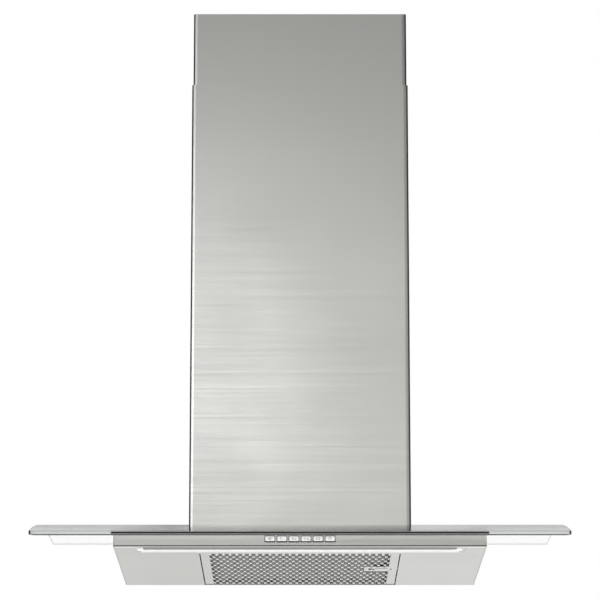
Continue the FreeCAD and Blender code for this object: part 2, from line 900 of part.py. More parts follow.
# The collar turns the blower's oblong outlet into a round neck.
def outlet_collar():
    top = collar_base() + collar_neck
    outer = Part.makeLoft([outlet_wire(collar_wall, box_height), ring_wire(collar_radius, collar_base())],
                          True, True)
    inner = Part.makeLoft([outlet_wire(0, box_height),
                           ring_wire(collar_radius - collar_wall, collar_base())], True, True)
    flange = outlet_prism(blower_wall + outlet_flange, outlet_lip, box_height, box_height + collar_wall)
    neck = rod_z(collar_radius, 0, collar_reach, collar_base(), top)
    neck = neck.cut(rod_z(collar_radius - collar_wall, 0, collar_reach, collar_base(), top))
    collar = flange.fuse(outer).cut(inner).fuse(neck)
    for x, reach in outlet_screw_places():
        collar = collar.cut(rod_z(screw_radius + seat_gap, x, reach, box_height - overrun,
                                  box_height + overrun))
    return collar.removeSplitter()


# The spigot's sleeve is pushed into the neck. The duct slides over both, and
# the spigot's ledge and pin hold the flaps.
def duct_spigot():
    low = collar_base() + collar_neck + seat_gap
    top = collar_base() + collar_straight
    bore = collar_radius - collar_wall
    tube = rod_z(collar_radius, 0, collar_reach, low, top)
    tube = tube.makeChamfer(collar_lead_in, [max(tube.Edges, key=lambda edge: edge.CenterOfMass.z)])
    tube = tube.cut(rod_z(bore, 0, collar_reach, low, top + overrun))
    step = rod_z(bore + collar_wall / 2, 0, collar_reach, low, low + spigot_sleeve_wall)
    sleeve = rod_z(bore - seat_gap, 0, collar_reach, low - spigot_sleeve_length, low + spigot_sleeve_wall)
    way = rod_z(bore - seat_gap - spigot_sleeve_wall, 0, collar_reach, collar_base(), top)
    ledge = rod_z(collar_radius, 0, collar_reach, flap_level() - flap_ledge_height, flap_level())
    ledge = ledge.cut(rod_z(bore - flap_ledge, 0, collar_reach, collar_base(), top))
    spigot = joined([tube, step.fuse(sleeve).cut(way), ledge])
    pin = rod_y(flap_pin_radius + running_gap, 0, collar_reach + collar_radius + overrun,
                collar_reach - collar_radius - overrun, flap_axis_height())
    barrel = rod_y(flap_barrel_radius + flap_barrel_gap, 0, collar_reach + flap_half_length(),
                   collar_reach - flap_half_length(), flap_axis_height())
    return spigot.cut(pin).cut(barrel)


# The flaps rest on this ledge when the blower is off.
def flap_level():
    return collar_base() + flap_rise


def flap_axis_height():
    return flap_level() + fit_gap + flap_thickness / 2


def flap_half_length():
    return collar_radius - collar_wall - flap_rim_gap


def flap_pin():
    reach = collar_radius - collar_wall / 2
    return rod_y(flap_pin_radius, 0, collar_reach + reach, collar_reach - reach, flap_axis_height())


# Each flap is a half disc with three of the six knuckles on the pin.
def flap(side):
    low = flap_level() + fit_gap
    radius = flap_half_length()
    disc = rod_z(radius, 0, collar_reach, low, low + flap_thickness)
    away = block(-radius, -flap_barrel_gap / 2, collar_reach + radius, collar_reach - radius,
                 low - overrun, low + overrun)
    plate = disc.cut(away)
    length = 2 * (radius - flap_rim_gap) / flap_knuckles
    first = collar_reach + radius - flap_rim_gap
    own = []
    for i in range(flap_knuckles):
        far = first - i * length
        near = far - length
        if (i % 2 == 0) == (side > 0):
            own.append(rod_y(flap_barrel_radius, 0, far - fit_gap, near + fit_gap, flap_axis_height()))
        else:
            plate = plate.cut(rod_y(flap_barrel_radius + flap_barrel_gap, 0, far, near,
                                    flap_axis_height()))
    ends = rod_y(flap_barrel_radius + flap_barrel_gap, 0, collar_reach + collar_radius,
                 first, flap_axis_height())
    other = rod_y(flap_barrel_radius + flap_barrel_gap, 0, 2 * collar_reach - first,
                  collar_reach - collar_radius, flap_axis_height())
    whole = joined([plate.cut(ends).cut(other)] + own)
    whole = whole.cut(rod_y(flap_pin_radius + running_gap, 0, collar_reach + collar_radius,
                            collar_reach - collar_radius, flap_axis_height()))
    if side < 0:
        whole = whole.mirror(FreeCAD.Vector(), FreeCAD.Vector(1, 0, 0))
    return whole


def outlet_screws():
    seat = box_height + collar_wall
    grip = collar_wall + sheet + blower_wall + screw_grip / 2
    return compound([screw_down(x, reach, seat, screw_radius, screw_head_radius, screw_head_height, grip)
                     for x, reach in outlet_screw_places()])


def power_box():
    left = sheet + fit_gap - box_half
    case = block(left, left + power_box_width, power_box_reach + power_box_length, power_box_reach,
                 power_box_rise, power_box_rise + power_box_tall)
    return round_upright(case, power_box_round, lambda place: place.x > left + power_box_round)


def capacitor_x():
    return sheet + capacitor_side_gap + capacitor_radius - box_half


def run_capacitor():
    body = rod_z(capacitor_radius, capacitor_x(), capacitor_reach, capacitor_rise,
                 capacitor_rise + capacitor_length)
    return body.makeFillet(clip_band, [edge for edge in body.Edges
                                       if edge.Length > capacitor_length + capacitor_radius])


def capacitor_clip():
    middle = capacitor_rise + capacitor_length / 2
    low = middle - clip_height / 2
    high = middle + clip_height / 2
    band = rod_z(capacitor_radius + fit_gap + clip_band, capacitor_x(), capacitor_reach, low, high)
    wall = sheet - box_half
    arm = block(wall, capacitor_x(), capacitor_reach + clip_band, capacitor_reach - clip_band, low, high)
    foot = block(wall, wall + clip_band, capacitor_reach + capacitor_radius,
                 capacitor_reach - capacitor_radius, low, high)
    hole = rod_z(capacitor_radius + fit_gap, capacitor_x(), capacitor_reach, low - overrun, high + overrun)
    return joined([band, arm, foot]).cut(hole)


# The gland takes the supply cable through the top of the motor box.
def cable_gland():
    x = -gland_side_place
    low = box_inner_top - gland_below
    high = box_height + gland_above
    neck = rod_z(gland_neck_radius, x, gland_reach, low, high)
    collar = rod_z(gland_flange_radius, x, gland_reach, box_height, box_height + gland_above / 2)
    hexagon = [vec(x + gland_flange_radius * math.cos(math.radians(60 * i)),
                   gland_reach + gland_flange_radius * math.sin(math.radians(60 * i)),
                   box_inner_top - gland_below / 2) for i in range(7)]
    nut = Part.Face(Part.makePolygon(hexagon)).extrude(FreeCAD.Vector(0, 0, gland_below / 2))
    return joined([neck, collar, nut]).cut(rod_z(gland_bore_radius, x, gland_reach, low - overrun,
                                                 high + overrun))


# A chimney section is one sheet folded to a U, with its rear edges turned in.
def chimney_sheet(half, front, rear, z0, z1):
    outer = block(-half, half, front, rear, z0, z1)
    outer = round_upright(outer, chimney_bend_radius, lambda place: place.y < -front + sheet)
    inner = block(sheet - half, half - sheet, front - sheet, rear + sheet, z0 - overrun, z1 + overrun)
    inner = round_upright(inner, chimney_bend_radius - sheet, lambda place: place.y < -front + 2 * sheet)
    mouth = block(chimney_flange - half, half - chimney_flange, rear + overrun, rear - overrun,
                  z0 - overrun, z1 + overrun)
    return outer.cut(inner).cut(mouth)


def chimney_lower():
    section = chimney_sheet(chimney_width / 2, chimney_reach, chimney_wall_gap, 0, chimney_top)
    return section.cut(under_bend(body_width, body_reach, 0, -overrun, glass_top_lift + fit_gap))


def chimney_upper():
    section = chimney_sheet(upper_half, upper_front, upper_rear, upper_top - upper_length, upper_top)
    low = upper_top - bracket_drop - bracket_height - bracket_notch_gap
    for side in (-1, 1):
        inner = side * (upper_half - sheet)
        notch = block(min(inner, 0), max(inner, 0), upper_rear + sheet + overrun, upper_rear - overrun,
                      low, upper_top + overrun)
        section = section.cut(notch)
        hole = rod_x(screw_radius + fit_gap, side * upper_half - overrun, side * upper_half + overrun,
                     upper_rear + bracket_ear / 2, bracket_middle())
        section = section.cut(hole)
    return section


def bracket_middle():
    return upper_top - bracket_drop - bracket_height / 2


# This bracket is screwed to the wall, and the upper section to its ears.
def chimney_bracket():
    half = upper_half - sheet - fit_gap
    low = upper_top - bracket_drop - bracket_height
    high = upper_top - bracket_drop
    outer = block(-half, half, upper_rear + bracket_ear, 0, low, high)
    inner = block(bracket_thickness - half, half - bracket_thickness, upper_rear + bracket_ear + overrun,
                  bracket_thickness, low - overrun, high + overrun)
    bracket = outer.cut(inner)
    for side in (-1, 1):
        bracket = bracket.cut(rod_y(bracket_hole_radius, side * bracket_hole_spacing / 2,
                                    overrun, -overrun, bracket_middle()))
        bracket = bracket.cut(rod_x(screw_radius + seat_gap, side * half - overrun, side * half + overrun,
                                    upper_rear + bracket_ear / 2, bracket_middle()))
    return bracket


def side_screw(x, side, reach, z):
    screw = screw_down(0, 0, 0, screw_radius, screw_head_radius, screw_head_height, screw_grip)
    screw.rotate(FreeCAD.Vector(), FreeCAD.Vector(0, 1, 0), 90 * side)
    screw.translate(vec(x, reach, z))
    return screw


def chimney_screws():
    reach = upper_rear + bracket_ear / 2
    return compound([side_screw(side * upper_half, side, reach, bracket_middle()) for side in (-1, 1)])


# Two stepped clips tie the lower section to the sides of the motor box.
def chimney_clips():
    clips = []
    wide = chimney_width / 2 - sheet - fit_gap
    for side in (-1, 1):
        legs = []
        spans = [(box_half, box_half + clip_plate, 0, clip_tall), (box_half, wide, 0, clip_plate),
                 (wide - clip_plate, wide, -clip_tall, clip_plate)]
        for near, far, low, high in spans:
            leg = block(near, far, clip_place_reach + clip_long / 2, clip_place_reach - clip_long / 2,
                        clip_rise + low, clip_rise + high)
            legs.append(leg)
        clip = joined(legs)
        if side < 0:
            clip = clip.mirror(FreeCAD.Vector(), FreeCAD.Vector(1, 0, 0))
        clips.append(clip)
    return compound(clips)


# The rim is a folded channel, open inwards, that grips the net and the core.
def filter_frame():
    low = filter_lift
    outer = block(-filter_half, filter_half, filter_front, filter_rear, low, filter_top)
    hollow = block(filter_metal - filter_half, filter_half - filter_metal, filter_front - filter_metal,
                   filter_rear + filter_metal, low + filter_metal, filter_top - filter_metal)
    window = block(filter_rim - filter_half, filter_half - filter_rim, filter_front - filter_end_rim,
                   filter_rear + filter_end_rim, low - overrun, filter_top + overrun)
    frame = outer.cut(hollow).cut(window)
    mark = filter_half - latch_mark_inset
    frame = frame.cut(block(mark - latch_mark_width, mark, filter_middle + latch_mark_length / 2,
                            filter_middle - latch_mark_length / 2, low - overrun, low + filter_metal))
    low = latch_level() - fit_gap
    high = latch_level() + latch_thickness + fit_gap
    half = latch_width / 2 + fit_gap
    frame = frame.cut(block(filter_half - overrun, filter_half + overrun, filter_middle + half,
                            filter_middle - half, low, high))
    for far, near in ((filter_front + hinge_pin_length, filter_front - filter_metal),
                      (filter_rear + filter_metal, filter_rear - hinge_pin_length)):
        frame = frame.fuse(rod_y(hinge_pin_radius, hinge_x, far, near, hinge_rise))
    return frame.removeSplitter()


def net_half():
    return filter_half - filter_metal - core_gap


def net_low():
    return filter_lift + filter_metal + core_gap / 2


def latch_level():
    return filter_lift + filter_metal + fit_gap


def latch_pocket(low, high):
    right = filter_half - filter_metal - core_gap
    left = filter_half - filter_rim - latch_plate_length
    half = latch_plate_width / 2 + core_gap
    return block(left, right + overrun, filter_middle + half, filter_middle - half, low, high)


# Expanded metal: staggered diamonds that leave strands of one width.
def filter_outer_net():
    half = net_half()
    front = filter_front - filter_metal - core_gap
    rear = filter_rear + filter_metal + core_gap
    low = net_low()
    spacing = net_pitch_across * net_pitch_along / math.hypot(net_pitch_across, net_pitch_along)
    open_share = 1 - net_strand / spacing
    across = net_pitch_across / 2 * open_share
    along = net_pitch_along / 2 * open_share
    limit_x = filter_half - filter_rim - net_margin - across
    limit_y = filter_length / 2 - filter_end_rim - net_margin - along
    columns = int(limit_x / net_pitch_across) + 1
    rows = int(2 * limit_y / net_pitch_along) + 1
    corners = [vec(-half, front, low), vec(half, front, low), vec(half, rear, low), vec(-half, rear, low)]
    wires = [Part.makePolygon(corners + corners[:1])]
    pocket_left = filter_half - filter_rim - latch_plate_length - net_margin - across
    pocket_half = latch_plate_width / 2 + net_margin + along
    for row in range(-rows, rows + 1):
        for column in range(-columns, columns + 1):
            x = (column + (row % 2) / 2) * net_pitch_across
            away = row * net_pitch_along / 2
            if abs(x) > limit_x or abs(away) > limit_y or (x > pocket_left and abs(away) < pocket_half):
                continue
            tips = [vec(x + across, filter_middle + away, low), vec(x, filter_middle + away + along, low),
                    vec(x - across, filter_middle + away, low), vec(x, filter_middle + away - along, low)]
            wires.append(Part.makePolygon(tips + tips[:1]))
    net = Part.makeFace(wires, "Part::FaceMakerBullseye").extrude(FreeCAD.Vector(0, 0, net_thickness))
    return net.cut(latch_pocket(low - overrun, low + overrun))


# The core that catches the grease is a thin sheet folded to and fro.
def filter_core():
    half = net_half()
    front = filter_front - filter_metal - core_gap
    low = net_low() + net_thickness + core_gap
    high = filter_top - filter_metal - core_gap / 2 - core_metal
    folds = 2 * round(half / core_fold_pitch)
    step = half / folds
    crest = [(2 * i * step - half, high if i % 2 else low) for i in range(folds + 1)]
    places = crest + [(x, z + core_metal) for x, z in reversed(crest)]
    points = [vec(x, front, z) for x, z in places]
    length = filter_length - 2 * (filter_metal + core_gap)
    core = Part.Face(Part.makePolygon(points + points[:1])).extrude(FreeCAD.Vector(0, length, 0))
    return core.cut(latch_pocket(low - overrun, latch_level() + latch_thickness + 2 * core_gap
                                 + latch_leaf_thickness))


def latch_plate_left():
    return filter_half - filter_rim - latch_plate_length


def latch_slot_left():
    return latch_plate_left() + latch_slot_inset


# The slider ends at its tab, which stands in the middle of the plate's slot.
def latch_tail():
    return latch_slot_left() + (latch_slot_length - latch_tab_thickness) / 2


def plate_block(x0, x1, half, z0, z1):
    return block(x0, x1, filter_middle + half, filter_middle - half, z0, z1)


# The plate is pressed from one sheet, with a rib under the slider. Its two
# tongues lie over the rim's lower flange.
def filter_latch_plate():
    left = latch_plate_left() + seat_gap
    right = filter_half - filter_rim - seat_gap
    top = filter_lift + filter_metal
    plate = plate_block(left, right, latch_plate_width / 2, filter_lift, top)
    rib = latch_plate_left() + latch_rib_inset
    plate = plate.fuse(plate_block(rib, rib + latch_rib_length, latch_rib_width / 2,
                                   filter_lift - latch_rib_drop, top))
    tip = right + latch_tongue_length
    for side in (-1, 1):
        middle = filter_middle + side * (latch_plate_width - latch_tongue_width) / 2
        far, near = middle + latch_tongue_width / 2, middle - latch_tongue_width / 2
        plate = plate.fuse(block(right - latch_tongue_length, right, far, near, top,
                                 top + seat_gap + net_thickness))
        plate = plate.fuse(block(right - latch_tongue_length, tip, far, near, top + seat_gap,
                                 top + seat_gap + net_thickness))
    slot = plate_block(latch_slot_left(), latch_slot_left() + latch_slot_length, latch_slot_width / 2,
                       -overrun, top + overrun)
    return plate.cut(slot).removeSplitter()


# The latch's tip lies over the panel's edge. Its tab hangs in the slot for
# the finger, which slides it clear of the edge against the leaf spring.
def filter_latch():
    low = latch_level()
    bar = plate_block(latch_tail(), filter_half + latch_reach_out, latch_width / 2, low,
                      low + latch_thickness)
    tab = plate_block(latch_tail(), latch_tail() + latch_tab_thickness, latch_tab_width / 2,
                      filter_lift - latch_tab_drop, low + latch_thickness)
    return joined([bar, tab])


def filter_latch_spring():
    low = latch_level() + latch_thickness + core_gap
    left = latch_tail() + latch_tab_thickness
    return plate_block(left, left + latch_leaf_length, latch_leaf_width / 2, low,
                       low + latch_leaf_thickness)


# Lugs on the panel take the two pins at the filter's left corners.
def filter_hinge_lugs():
    lugs = []
    half = lug_width / 2
    for far in (filter_front + filter_opening_gap + fit_gap + lug_thickness,
                filter_rear - filter_opening_gap - fit_gap):
        base = sheet + max(0, slope_height(far - lug_thickness))
        lug = block(hinge_x - half, hinge_x + half, far, far - lug_thickness, base, sheet + lug_height)
        lugs.append(lug.cut(rod_y(hinge_pin_radius + running_gap, hinge_x, far + overrun,
                                  far - lug_thickness - overrun, hinge_rise)))
    return compound(lugs)


def put_down(name, shape):
    shape.translate(FreeCAD.Vector(0, 0, -hang_rise))
    shape.exportStep(os.path.join("parts", name + ".step"))
    print(name, len(shape.Solids), shape.isValid())


def main():
    os.makedirs("parts", exist_ok=True)
    pieces = {
        "body_shell": body_shell(),
        "body_top": body_top(),
        "underside_panel": underside_panel(),
        "panel_screws": panel_screws(),
        "light_lens": light_lens(),
        "led_board": led_board(),
        "button_carrier": button_carrier(),
        "control_board": control_board(),
        "button_switches": button_switches(),
        "glass_canopy": glass_canopy(),
        "glass_gasket": glass_gasket(),
        "glass_washers": glass_washers(),
        "glass_screws": glass_screws(),
        "box_wrap": box_wrap(),
        "box_back": box_back(),
        "box_lid": box_lid(),
        "hanging_plate": hanging_plate(),
        "blower_housing_left": blower_housing(-1),
        "blower_housing_right": blower_housing(1),
        "impeller": impeller(),
        "motor_shaft": motor_shaft(),
        "motor": motor(),
        "motor_bushes": motor_bushes(),
        "motor_spider": motor_spider(),
        "outlet_collar": outlet_collar(),
        "duct_spigot": duct_spigot(),
        "outlet_screws": outlet_screws(),
        "flap_pin": flap_pin(),
        "flap_left": flap(-1),
        "flap_right": flap(1),
        "power_box": power_box(),
        "run_capacitor": run_capacitor(),
        "capacitor_clip": capacitor_clip(),
        "cable_gland": cable_gland(),
        "chimney_lower": chimney_lower(),
        "chimney_clips": chimney_clips(),
        "chimney_upper": chimney_upper(),
        "chimney_bracket": chimney_bracket(),
        "chimney_screws": chimney_screws(),
        "filter_frame": filter_frame(),
        "filter_outer_net": filter_outer_net(),
        "filter_core": filter_core(),
        "filter_latch_plate": filter_latch_plate(),
        "filter_latch": filter_latch(),
        "filter_latch_spring": filter_latch_spring(),
        "filter_hinge_lugs": filter_hinge_lugs(),
    }
    for i, x in enumerate(button_places()):
        pieces["button_" + str(i + 1)] = button(x)
    for name, shape in pieces.items():
        put_down(name, shape)


main()
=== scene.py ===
import math

import bmesh
import bpy
from mathutils import Matrix, Vector


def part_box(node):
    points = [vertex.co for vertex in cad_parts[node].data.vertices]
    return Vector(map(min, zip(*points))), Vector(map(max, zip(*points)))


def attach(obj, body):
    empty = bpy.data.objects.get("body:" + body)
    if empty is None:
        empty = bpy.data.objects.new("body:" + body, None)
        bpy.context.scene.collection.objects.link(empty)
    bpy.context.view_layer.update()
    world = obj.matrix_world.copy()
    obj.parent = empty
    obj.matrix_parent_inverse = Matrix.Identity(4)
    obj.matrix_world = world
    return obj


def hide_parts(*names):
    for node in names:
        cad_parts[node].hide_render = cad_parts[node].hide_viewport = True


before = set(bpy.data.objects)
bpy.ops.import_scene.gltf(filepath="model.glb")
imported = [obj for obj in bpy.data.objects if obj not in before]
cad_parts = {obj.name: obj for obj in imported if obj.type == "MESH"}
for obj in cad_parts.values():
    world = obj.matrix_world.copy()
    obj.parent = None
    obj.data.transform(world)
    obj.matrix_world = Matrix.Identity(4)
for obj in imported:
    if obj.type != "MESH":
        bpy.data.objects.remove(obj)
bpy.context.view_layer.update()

# Body shell and underside panel: folded stainless sheet, ground with a long
# fine grain and left uncoated. The grain runs along the wall on both, so on
# the shell it is fine in height, and on the level panel it is fine in depth.
steel_colour = (0.62, 0.625, 0.595, 1)
body_shade_colour = (0.555, 0.56, 0.535, 1)
top_lit_colour = (0.96, 0.965, 0.94, 1)
hem_shade_colour = (0.15, 0.15, 0.14, 1)
steel_roughness = 0.34
steel_contrast = 0.07
grain_length = 9
grain_fineness = 1500
grain_bump = 0.00004
streak_scale = 0.23
fine_weight = 0.6
streak_weight = 0.4
gloss_swing = 0.22
soil_size = 5.5
soil_swing = 0.10
hem_height = 0.0025
hem_blur = 0.0005
hem_depth = 0.003
hem_depth_full = 0.001


def shader_group(name, inputs, outputs):
    group = bpy.data.node_groups.new(name, "ShaderNodeTree")
    for label, kind, value in inputs:
        socket = group.interface.new_socket(label, in_out="INPUT", socket_type=kind)
        if value is not None:
            socket.default_value = value
    for label, kind in outputs:
        group.interface.new_socket(label, in_out="OUTPUT", socket_type=kind)
    return group, group.nodes.new("NodeGroupInput"), group.nodes.new("NodeGroupOutput")


def add_node(tree, kind, **settings):
    node = tree.nodes.new(kind)
    for key, value in settings.items():
        setattr(node, key, value)
    return node


def add_noise(tree, vector, scale, detail):
    noise = add_node(tree, "ShaderNodeTexNoise")
    noise.inputs["Scale"].default_value = scale
    noise.inputs["Detail"].default_value = detail
    tree.links.new(vector, noise.inputs["Vector"])
    return noise.outputs["Fac"]


def add_math(tree, operation, *values):
    node = add_node(tree, "ShaderNodeMath", operation=operation)
    for socket, value in zip(node.inputs, values):
        if isinstance(value, (int, float)):
            socket.default_value = value
        else:
            tree.links.new(value, socket)
    return node.outputs[0]


def add_product(tree, first, *others):
    for other in others:
        first = add_math(tree, "MULTIPLY", first, other)
    return first


def object_place(tree):
    return add_node(tree, "ShaderNodeTexCoord").outputs["Object"]


def object_axes(tree):
    split = add_node(tree, "ShaderNodeSeparateXYZ")
    tree.links.new(object_place(tree), split.inputs["Vector"])
    return split.outputs["X"], split.outputs["Y"], split.outputs["Z"]


def add_shade(tree, colour, shade):
    mix = add_node(tree, "ShaderNodeMix", data_type="RGBA", blend_type="MULTIPLY")
    mix.inputs["Factor"].default_value = 1
    tree.links.new(colour, mix.inputs[6])
    tree.links.new(shade, mix.inputs[7])
    return mix.outputs[2]


# A ground sheet: fine lines with fewer coarse streaks among them, and broad
# patches where hands and cloths have changed the gloss.
grain, grain_in, grain_out = shader_group(
    "ground_grain",
    [("Vector", "NodeSocketVector", None), ("Place", "NodeSocketVector", None),
     ("Colour", "NodeSocketColor", steel_colour), ("Roughness", "NodeSocketFloat", steel_roughness),
     ("Contrast", "NodeSocketFloat", steel_contrast)],
    [("Colour", "NodeSocketColor"), ("Roughness", "NodeSocketFloat"), ("Height", "NodeSocketFloat")])
fine = add_noise(grain, grain_in.outputs["Vector"], 1, 3)
streak = add_noise(grain, grain_in.outputs["Vector"], streak_scale, 2)
soil = add_noise(grain, grain_in.outputs["Place"], soil_size, 3)
fine = add_math(grain, "MULTIPLY", fine, fine_weight)
lines = add_math(grain, "ADD", fine, add_math(grain, "MULTIPLY", streak, streak_weight))
centred = add_math(grain, "SUBTRACT", lines, 0.5)
shade = add_math(grain, "MULTIPLY_ADD", centred, grain_in.outputs["Contrast"], 1)
grain.links.new(add_shade(grain, grain_in.outputs["Colour"], shade), grain_out.inputs["Colour"])
rougher = add_math(grain, "MULTIPLY_ADD", centred, gloss_swing, grain_in.outputs["Roughness"])
soiled = add_math(grain, "MULTIPLY_ADD", add_math(grain, "SUBTRACT", soil, 0.5), soil_swing, rougher)
grain.links.new(soiled, grain_out.inputs["Roughness"])
grain.links.new(lines, grain_out.inputs["Height"])


def add_step(tree, value, low, high):
    ramp = add_node(tree, "ShaderNodeMapRange", interpolation_type="SMOOTHSTEP")
    ramp.inputs["From Min"].default_value = low
    ramp.inputs["From Max"].default_value = high
    tree.links.new(value, ramp.inputs["Value"])
    return ramp.outputs["Result"]


def add_blend(tree, factor, first, second):
    mix = add_node(tree, "ShaderNodeMix", data_type="RGBA")
    tree.links.new(factor, mix.inputs["Factor"])
    for socket, value in ((mix.inputs[6], first), (mix.inputs[7], second)):
        if isinstance(value, tuple):
            socket.default_value = value
        else:
            tree.links.new(value, socket)
    return mix.outputs[2]


def new_material(name, metallic, roughness, colour):
    material = bpy.data.materials.new(name)
    material.use_nodes = True
    shader = material.node_tree.nodes["Principled BSDF"]
    shader.inputs["Metallic"].default_value = metallic
    shader.inputs["Roughness"].default_value = roughness
    shader.inputs["Base Color"].default_value = colour
    return material, material.node_tree, shader


def add_bump(tree, shader, height, depth):
    bump = add_node(tree, "ShaderNodeBump")
    bump.inputs["Strength"].default_value = 1
    bump.inputs["Distance"].default_value = depth
    tree.links.new(height, bump.inputs["Height"])
    tree.links.new(bump.outputs["Normal"], shader.inputs["Normal"])


def ground_metal(name, colour, roughness, contrast, stretch, depth):
    material, tree, shader = new_material(name, 1, roughness, colour)
    place = object_place(tree)
    mapping = add_node(tree, "ShaderNodeMapping")
    mapping.inputs["Scale"].default_value = stretch
    tree.links.new(place, mapping.inputs["Vector"])
    group = add_node(tree, "ShaderNodeGroup", node_tree=grain)
    tree.links.new(mapping.outputs["Vector"], group.inputs["Vector"])
    tree.links.new(place, group.inputs["Place"])
    group.inputs["Colour"].default_value = colour
    group.inputs["Roughness"].default_value = roughness
    group.inputs["Contrast"].default_value = contrast
    tree.links.new(group.outputs["Colour"], shader.inputs["Base Color"])
    tree.links.new(group.outputs["Roughness"], shader.inputs["Roughness"])
    add_bump(tree, shader, group.outputs["Height"], depth)
    return material


def surface_of(material):
    tree = material.node_tree
    shader = tree.nodes["Principled BSDF"]
    return tree, shader, shader.inputs["Base Color"].links[0].from_socket


def dress(node, material):
    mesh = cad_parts[node].data
    mesh.materials.clear()
    mesh.materials.append(material)


def upright_grain(name, colour):
    return ground_metal(name, colour, steel_roughness, steel_contrast,
                        (grain_length, grain_length, grain_fineness), grain_bump)


def level_grain(name, colour):
    return ground_metal(name, colour, steel_roughness, steel_contrast,
                        (grain_length, grain_fineness, grain_length), grain_bump)


# The shell's steel is a darker copy of the same steel: painted shade, for the darker reflection on its
# front strip.
body_shaded_steel = upright_grain("body_shaded_steel", body_shade_colour)
tree, shader, ground_colour = surface_of(body_shaded_steel)
x, y, z = object_axes(tree)
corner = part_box("body_shell")[0]
# A dark band is painted along the bottom of the front strip: painted shade of the gap under its hem.
hem_shade = add_step(tree, z, corner.z + hem_height, corner.z + hem_height - hem_blur)
front = add_step(tree, y, corner.y + hem_depth, corner.y + hem_depth_full)
hem_shade = add_product(tree, hem_shade, front)
tree.links.new(add_blend(tree, hem_shade, ground_colour, hem_shade_colour), shader.inputs["Base Color"])
dress("body_shell", body_shaded_steel)
# The body's top is a much lighter copy of the same steel: painted light.
dress("body_top", level_grain("top_lit_steel", top_lit_colour))

# The panel's recess for the lamp is pressed. A highlight is painted on its rear bend and on the margin
# in front of it.
highlight_colour = (0.99, 0.99, 0.97, 1)
bend_width = 0.009
bend_blur = 0.001
bend_inset = 0.008
bend_end_blur = 0.003

level_steel = level_grain("level_steel", steel_colour)
tree, shader, ground_colour = surface_of(level_steel)
x, y, z = object_axes(tree)
near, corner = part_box("light_lens")
bend_highlight = add_step(tree, y, corner.y - bend_blur, corner.y)
bend_end = corner.y + bend_width
bend_highlight = add_product(tree, bend_highlight, add_step(tree, y, bend_end + bend_blur, bend_end))
bend_side = corner.x - bend_inset
along = add_step(tree, add_math(tree, "ABSOLUTE", x), bend_side, bend_side - bend_end_blur)
bend_highlight = add_product(tree, bend_highlight, along)
margin_highlight = add_step(tree, y, near.y + bend_blur, near.y)
bend_highlight = add_math(tree, "MAXIMUM", bend_highlight, margin_highlight)
tree.links.new(add_blend(tree, bend_highlight, ground_colour, highlight_colour), shader.inputs["Base Color"])
dress("underside_panel", level_steel)

# Lamp strip: a frosted plastic lens sits in the pressed recess of the panel,
# and the board with the diodes is stuck to the recess's roof behind it.
lens_colour = (0.93, 0.93, 0.91, 1)
mask_colour = (0.05, 0.16, 0.09, 1)
blotch_size = 14
blotch_tone = 0.10
blotch_gloss = 0.12
lens_shade = (0.12, 0.12, 0.115, 1)
lens_dark = (0, 0, 0, 1)
lens_glow = (0.24, 0.24, 0.235, 1)
lens_cap_lit_colour = (0.98, 0.98, 0.96, 1)
lens_lip = 0.0016
lens_lip_width = 0.0014
lens_segments = 48
shade_depth = 0.024
shade_blur = 0.011
end_shade_share = 0.7
lens_end = 0.013
lens_end_blur = 0.001
lens_cap = 0.0055
lens_cap_blur = 0.0008
glow_drop = 0.0004
glow_drop_full = 0.0009
glow_rear = 0.004
glow_rear_full = 0.003
flat_limit = 1e-6

moulded, moulded_in, moulded_out = shader_group(
    "moulded_grain",
    [("Vector", "NodeSocketVector", None), ("Colour", "NodeSocketColor", lens_colour),
     ("Roughness", "NodeSocketFloat", 0.5), ("Size", "NodeSocketFloat", 900.0)],
    [("Colour", "NodeSocketColor"), ("Roughness", "NodeSocketFloat"), ("Height", "NodeSocketFloat")])
pebble = add_node(moulded, "ShaderNodeTexNoise")
pebble.inputs["Detail"].default_value = 2
moulded.links.new(moulded_in.outputs["Vector"], pebble.inputs["Vector"])
moulded.links.new(moulded_in.outputs["Size"], pebble.inputs["Scale"])
blotch = add_noise(moulded, moulded_in.outputs["Vector"], blotch_size, 3)
centred = add_math(moulded, "SUBTRACT", blotch, 0.5)
tone = add_math(moulded, "MULTIPLY_ADD", centred, blotch_tone, 1)
toned = add_shade(moulded, moulded_in.outputs["Colour"], tone)
moulded.links.new(toned, moulded_out.inputs["Colour"])
dulled = add_math(moulded, "MULTIPLY_ADD", centred, blotch_gloss, moulded_in.outputs["Roughness"])
moulded.links.new(dulled, moulded_out.inputs["Roughness"])
moulded.links.new(pebble.outputs["Fac"], moulded_out.inputs["Height"])


def moulded_plastic(name, colour, roughness, size, depth):
    material, tree, shader = new_material(name, 0, roughness, colour)
    place = object_place(tree)
    group = add_node(tree, "ShaderNodeGroup", node_tree=moulded)
    tree.links.new(place, group.inputs["Vector"])
    group.inputs["Colour"].default_value = colour
    group.inputs["Roughness"].default_value = roughness
    group.inputs["Size"].default_value = size
    tree.links.new(group.outputs["Colour"], shader.inputs["Base Color"])
    tree.links.new(group.outputs["Roughness"], shader.inputs["Roughness"])
    add_bump(tree, shader, group.outputs["Height"], depth)
    return material


lens_plastic = moulded_plastic("lens_plastic", lens_colour, roughness=0.35, size=1600, depth=0.00002)
circuit_board = moulded_plastic("circuit_board", mask_colour, roughness=0.3, size=700, depth=0.00002)
dress("led_board", circuit_board)


def finish_piece(name, shape, material, body, smooth=False):
    mesh = bpy.data.meshes.new(name)
    shape.to_mesh(mesh)
    shape.free()
    mesh.materials.append(material)
    piece = bpy.data.objects.new(name, mesh)
    bpy.context.scene.collection.objects.link(piece)
    if smooth:
        mesh.shade_smooth()
    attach(piece, body)
    return piece
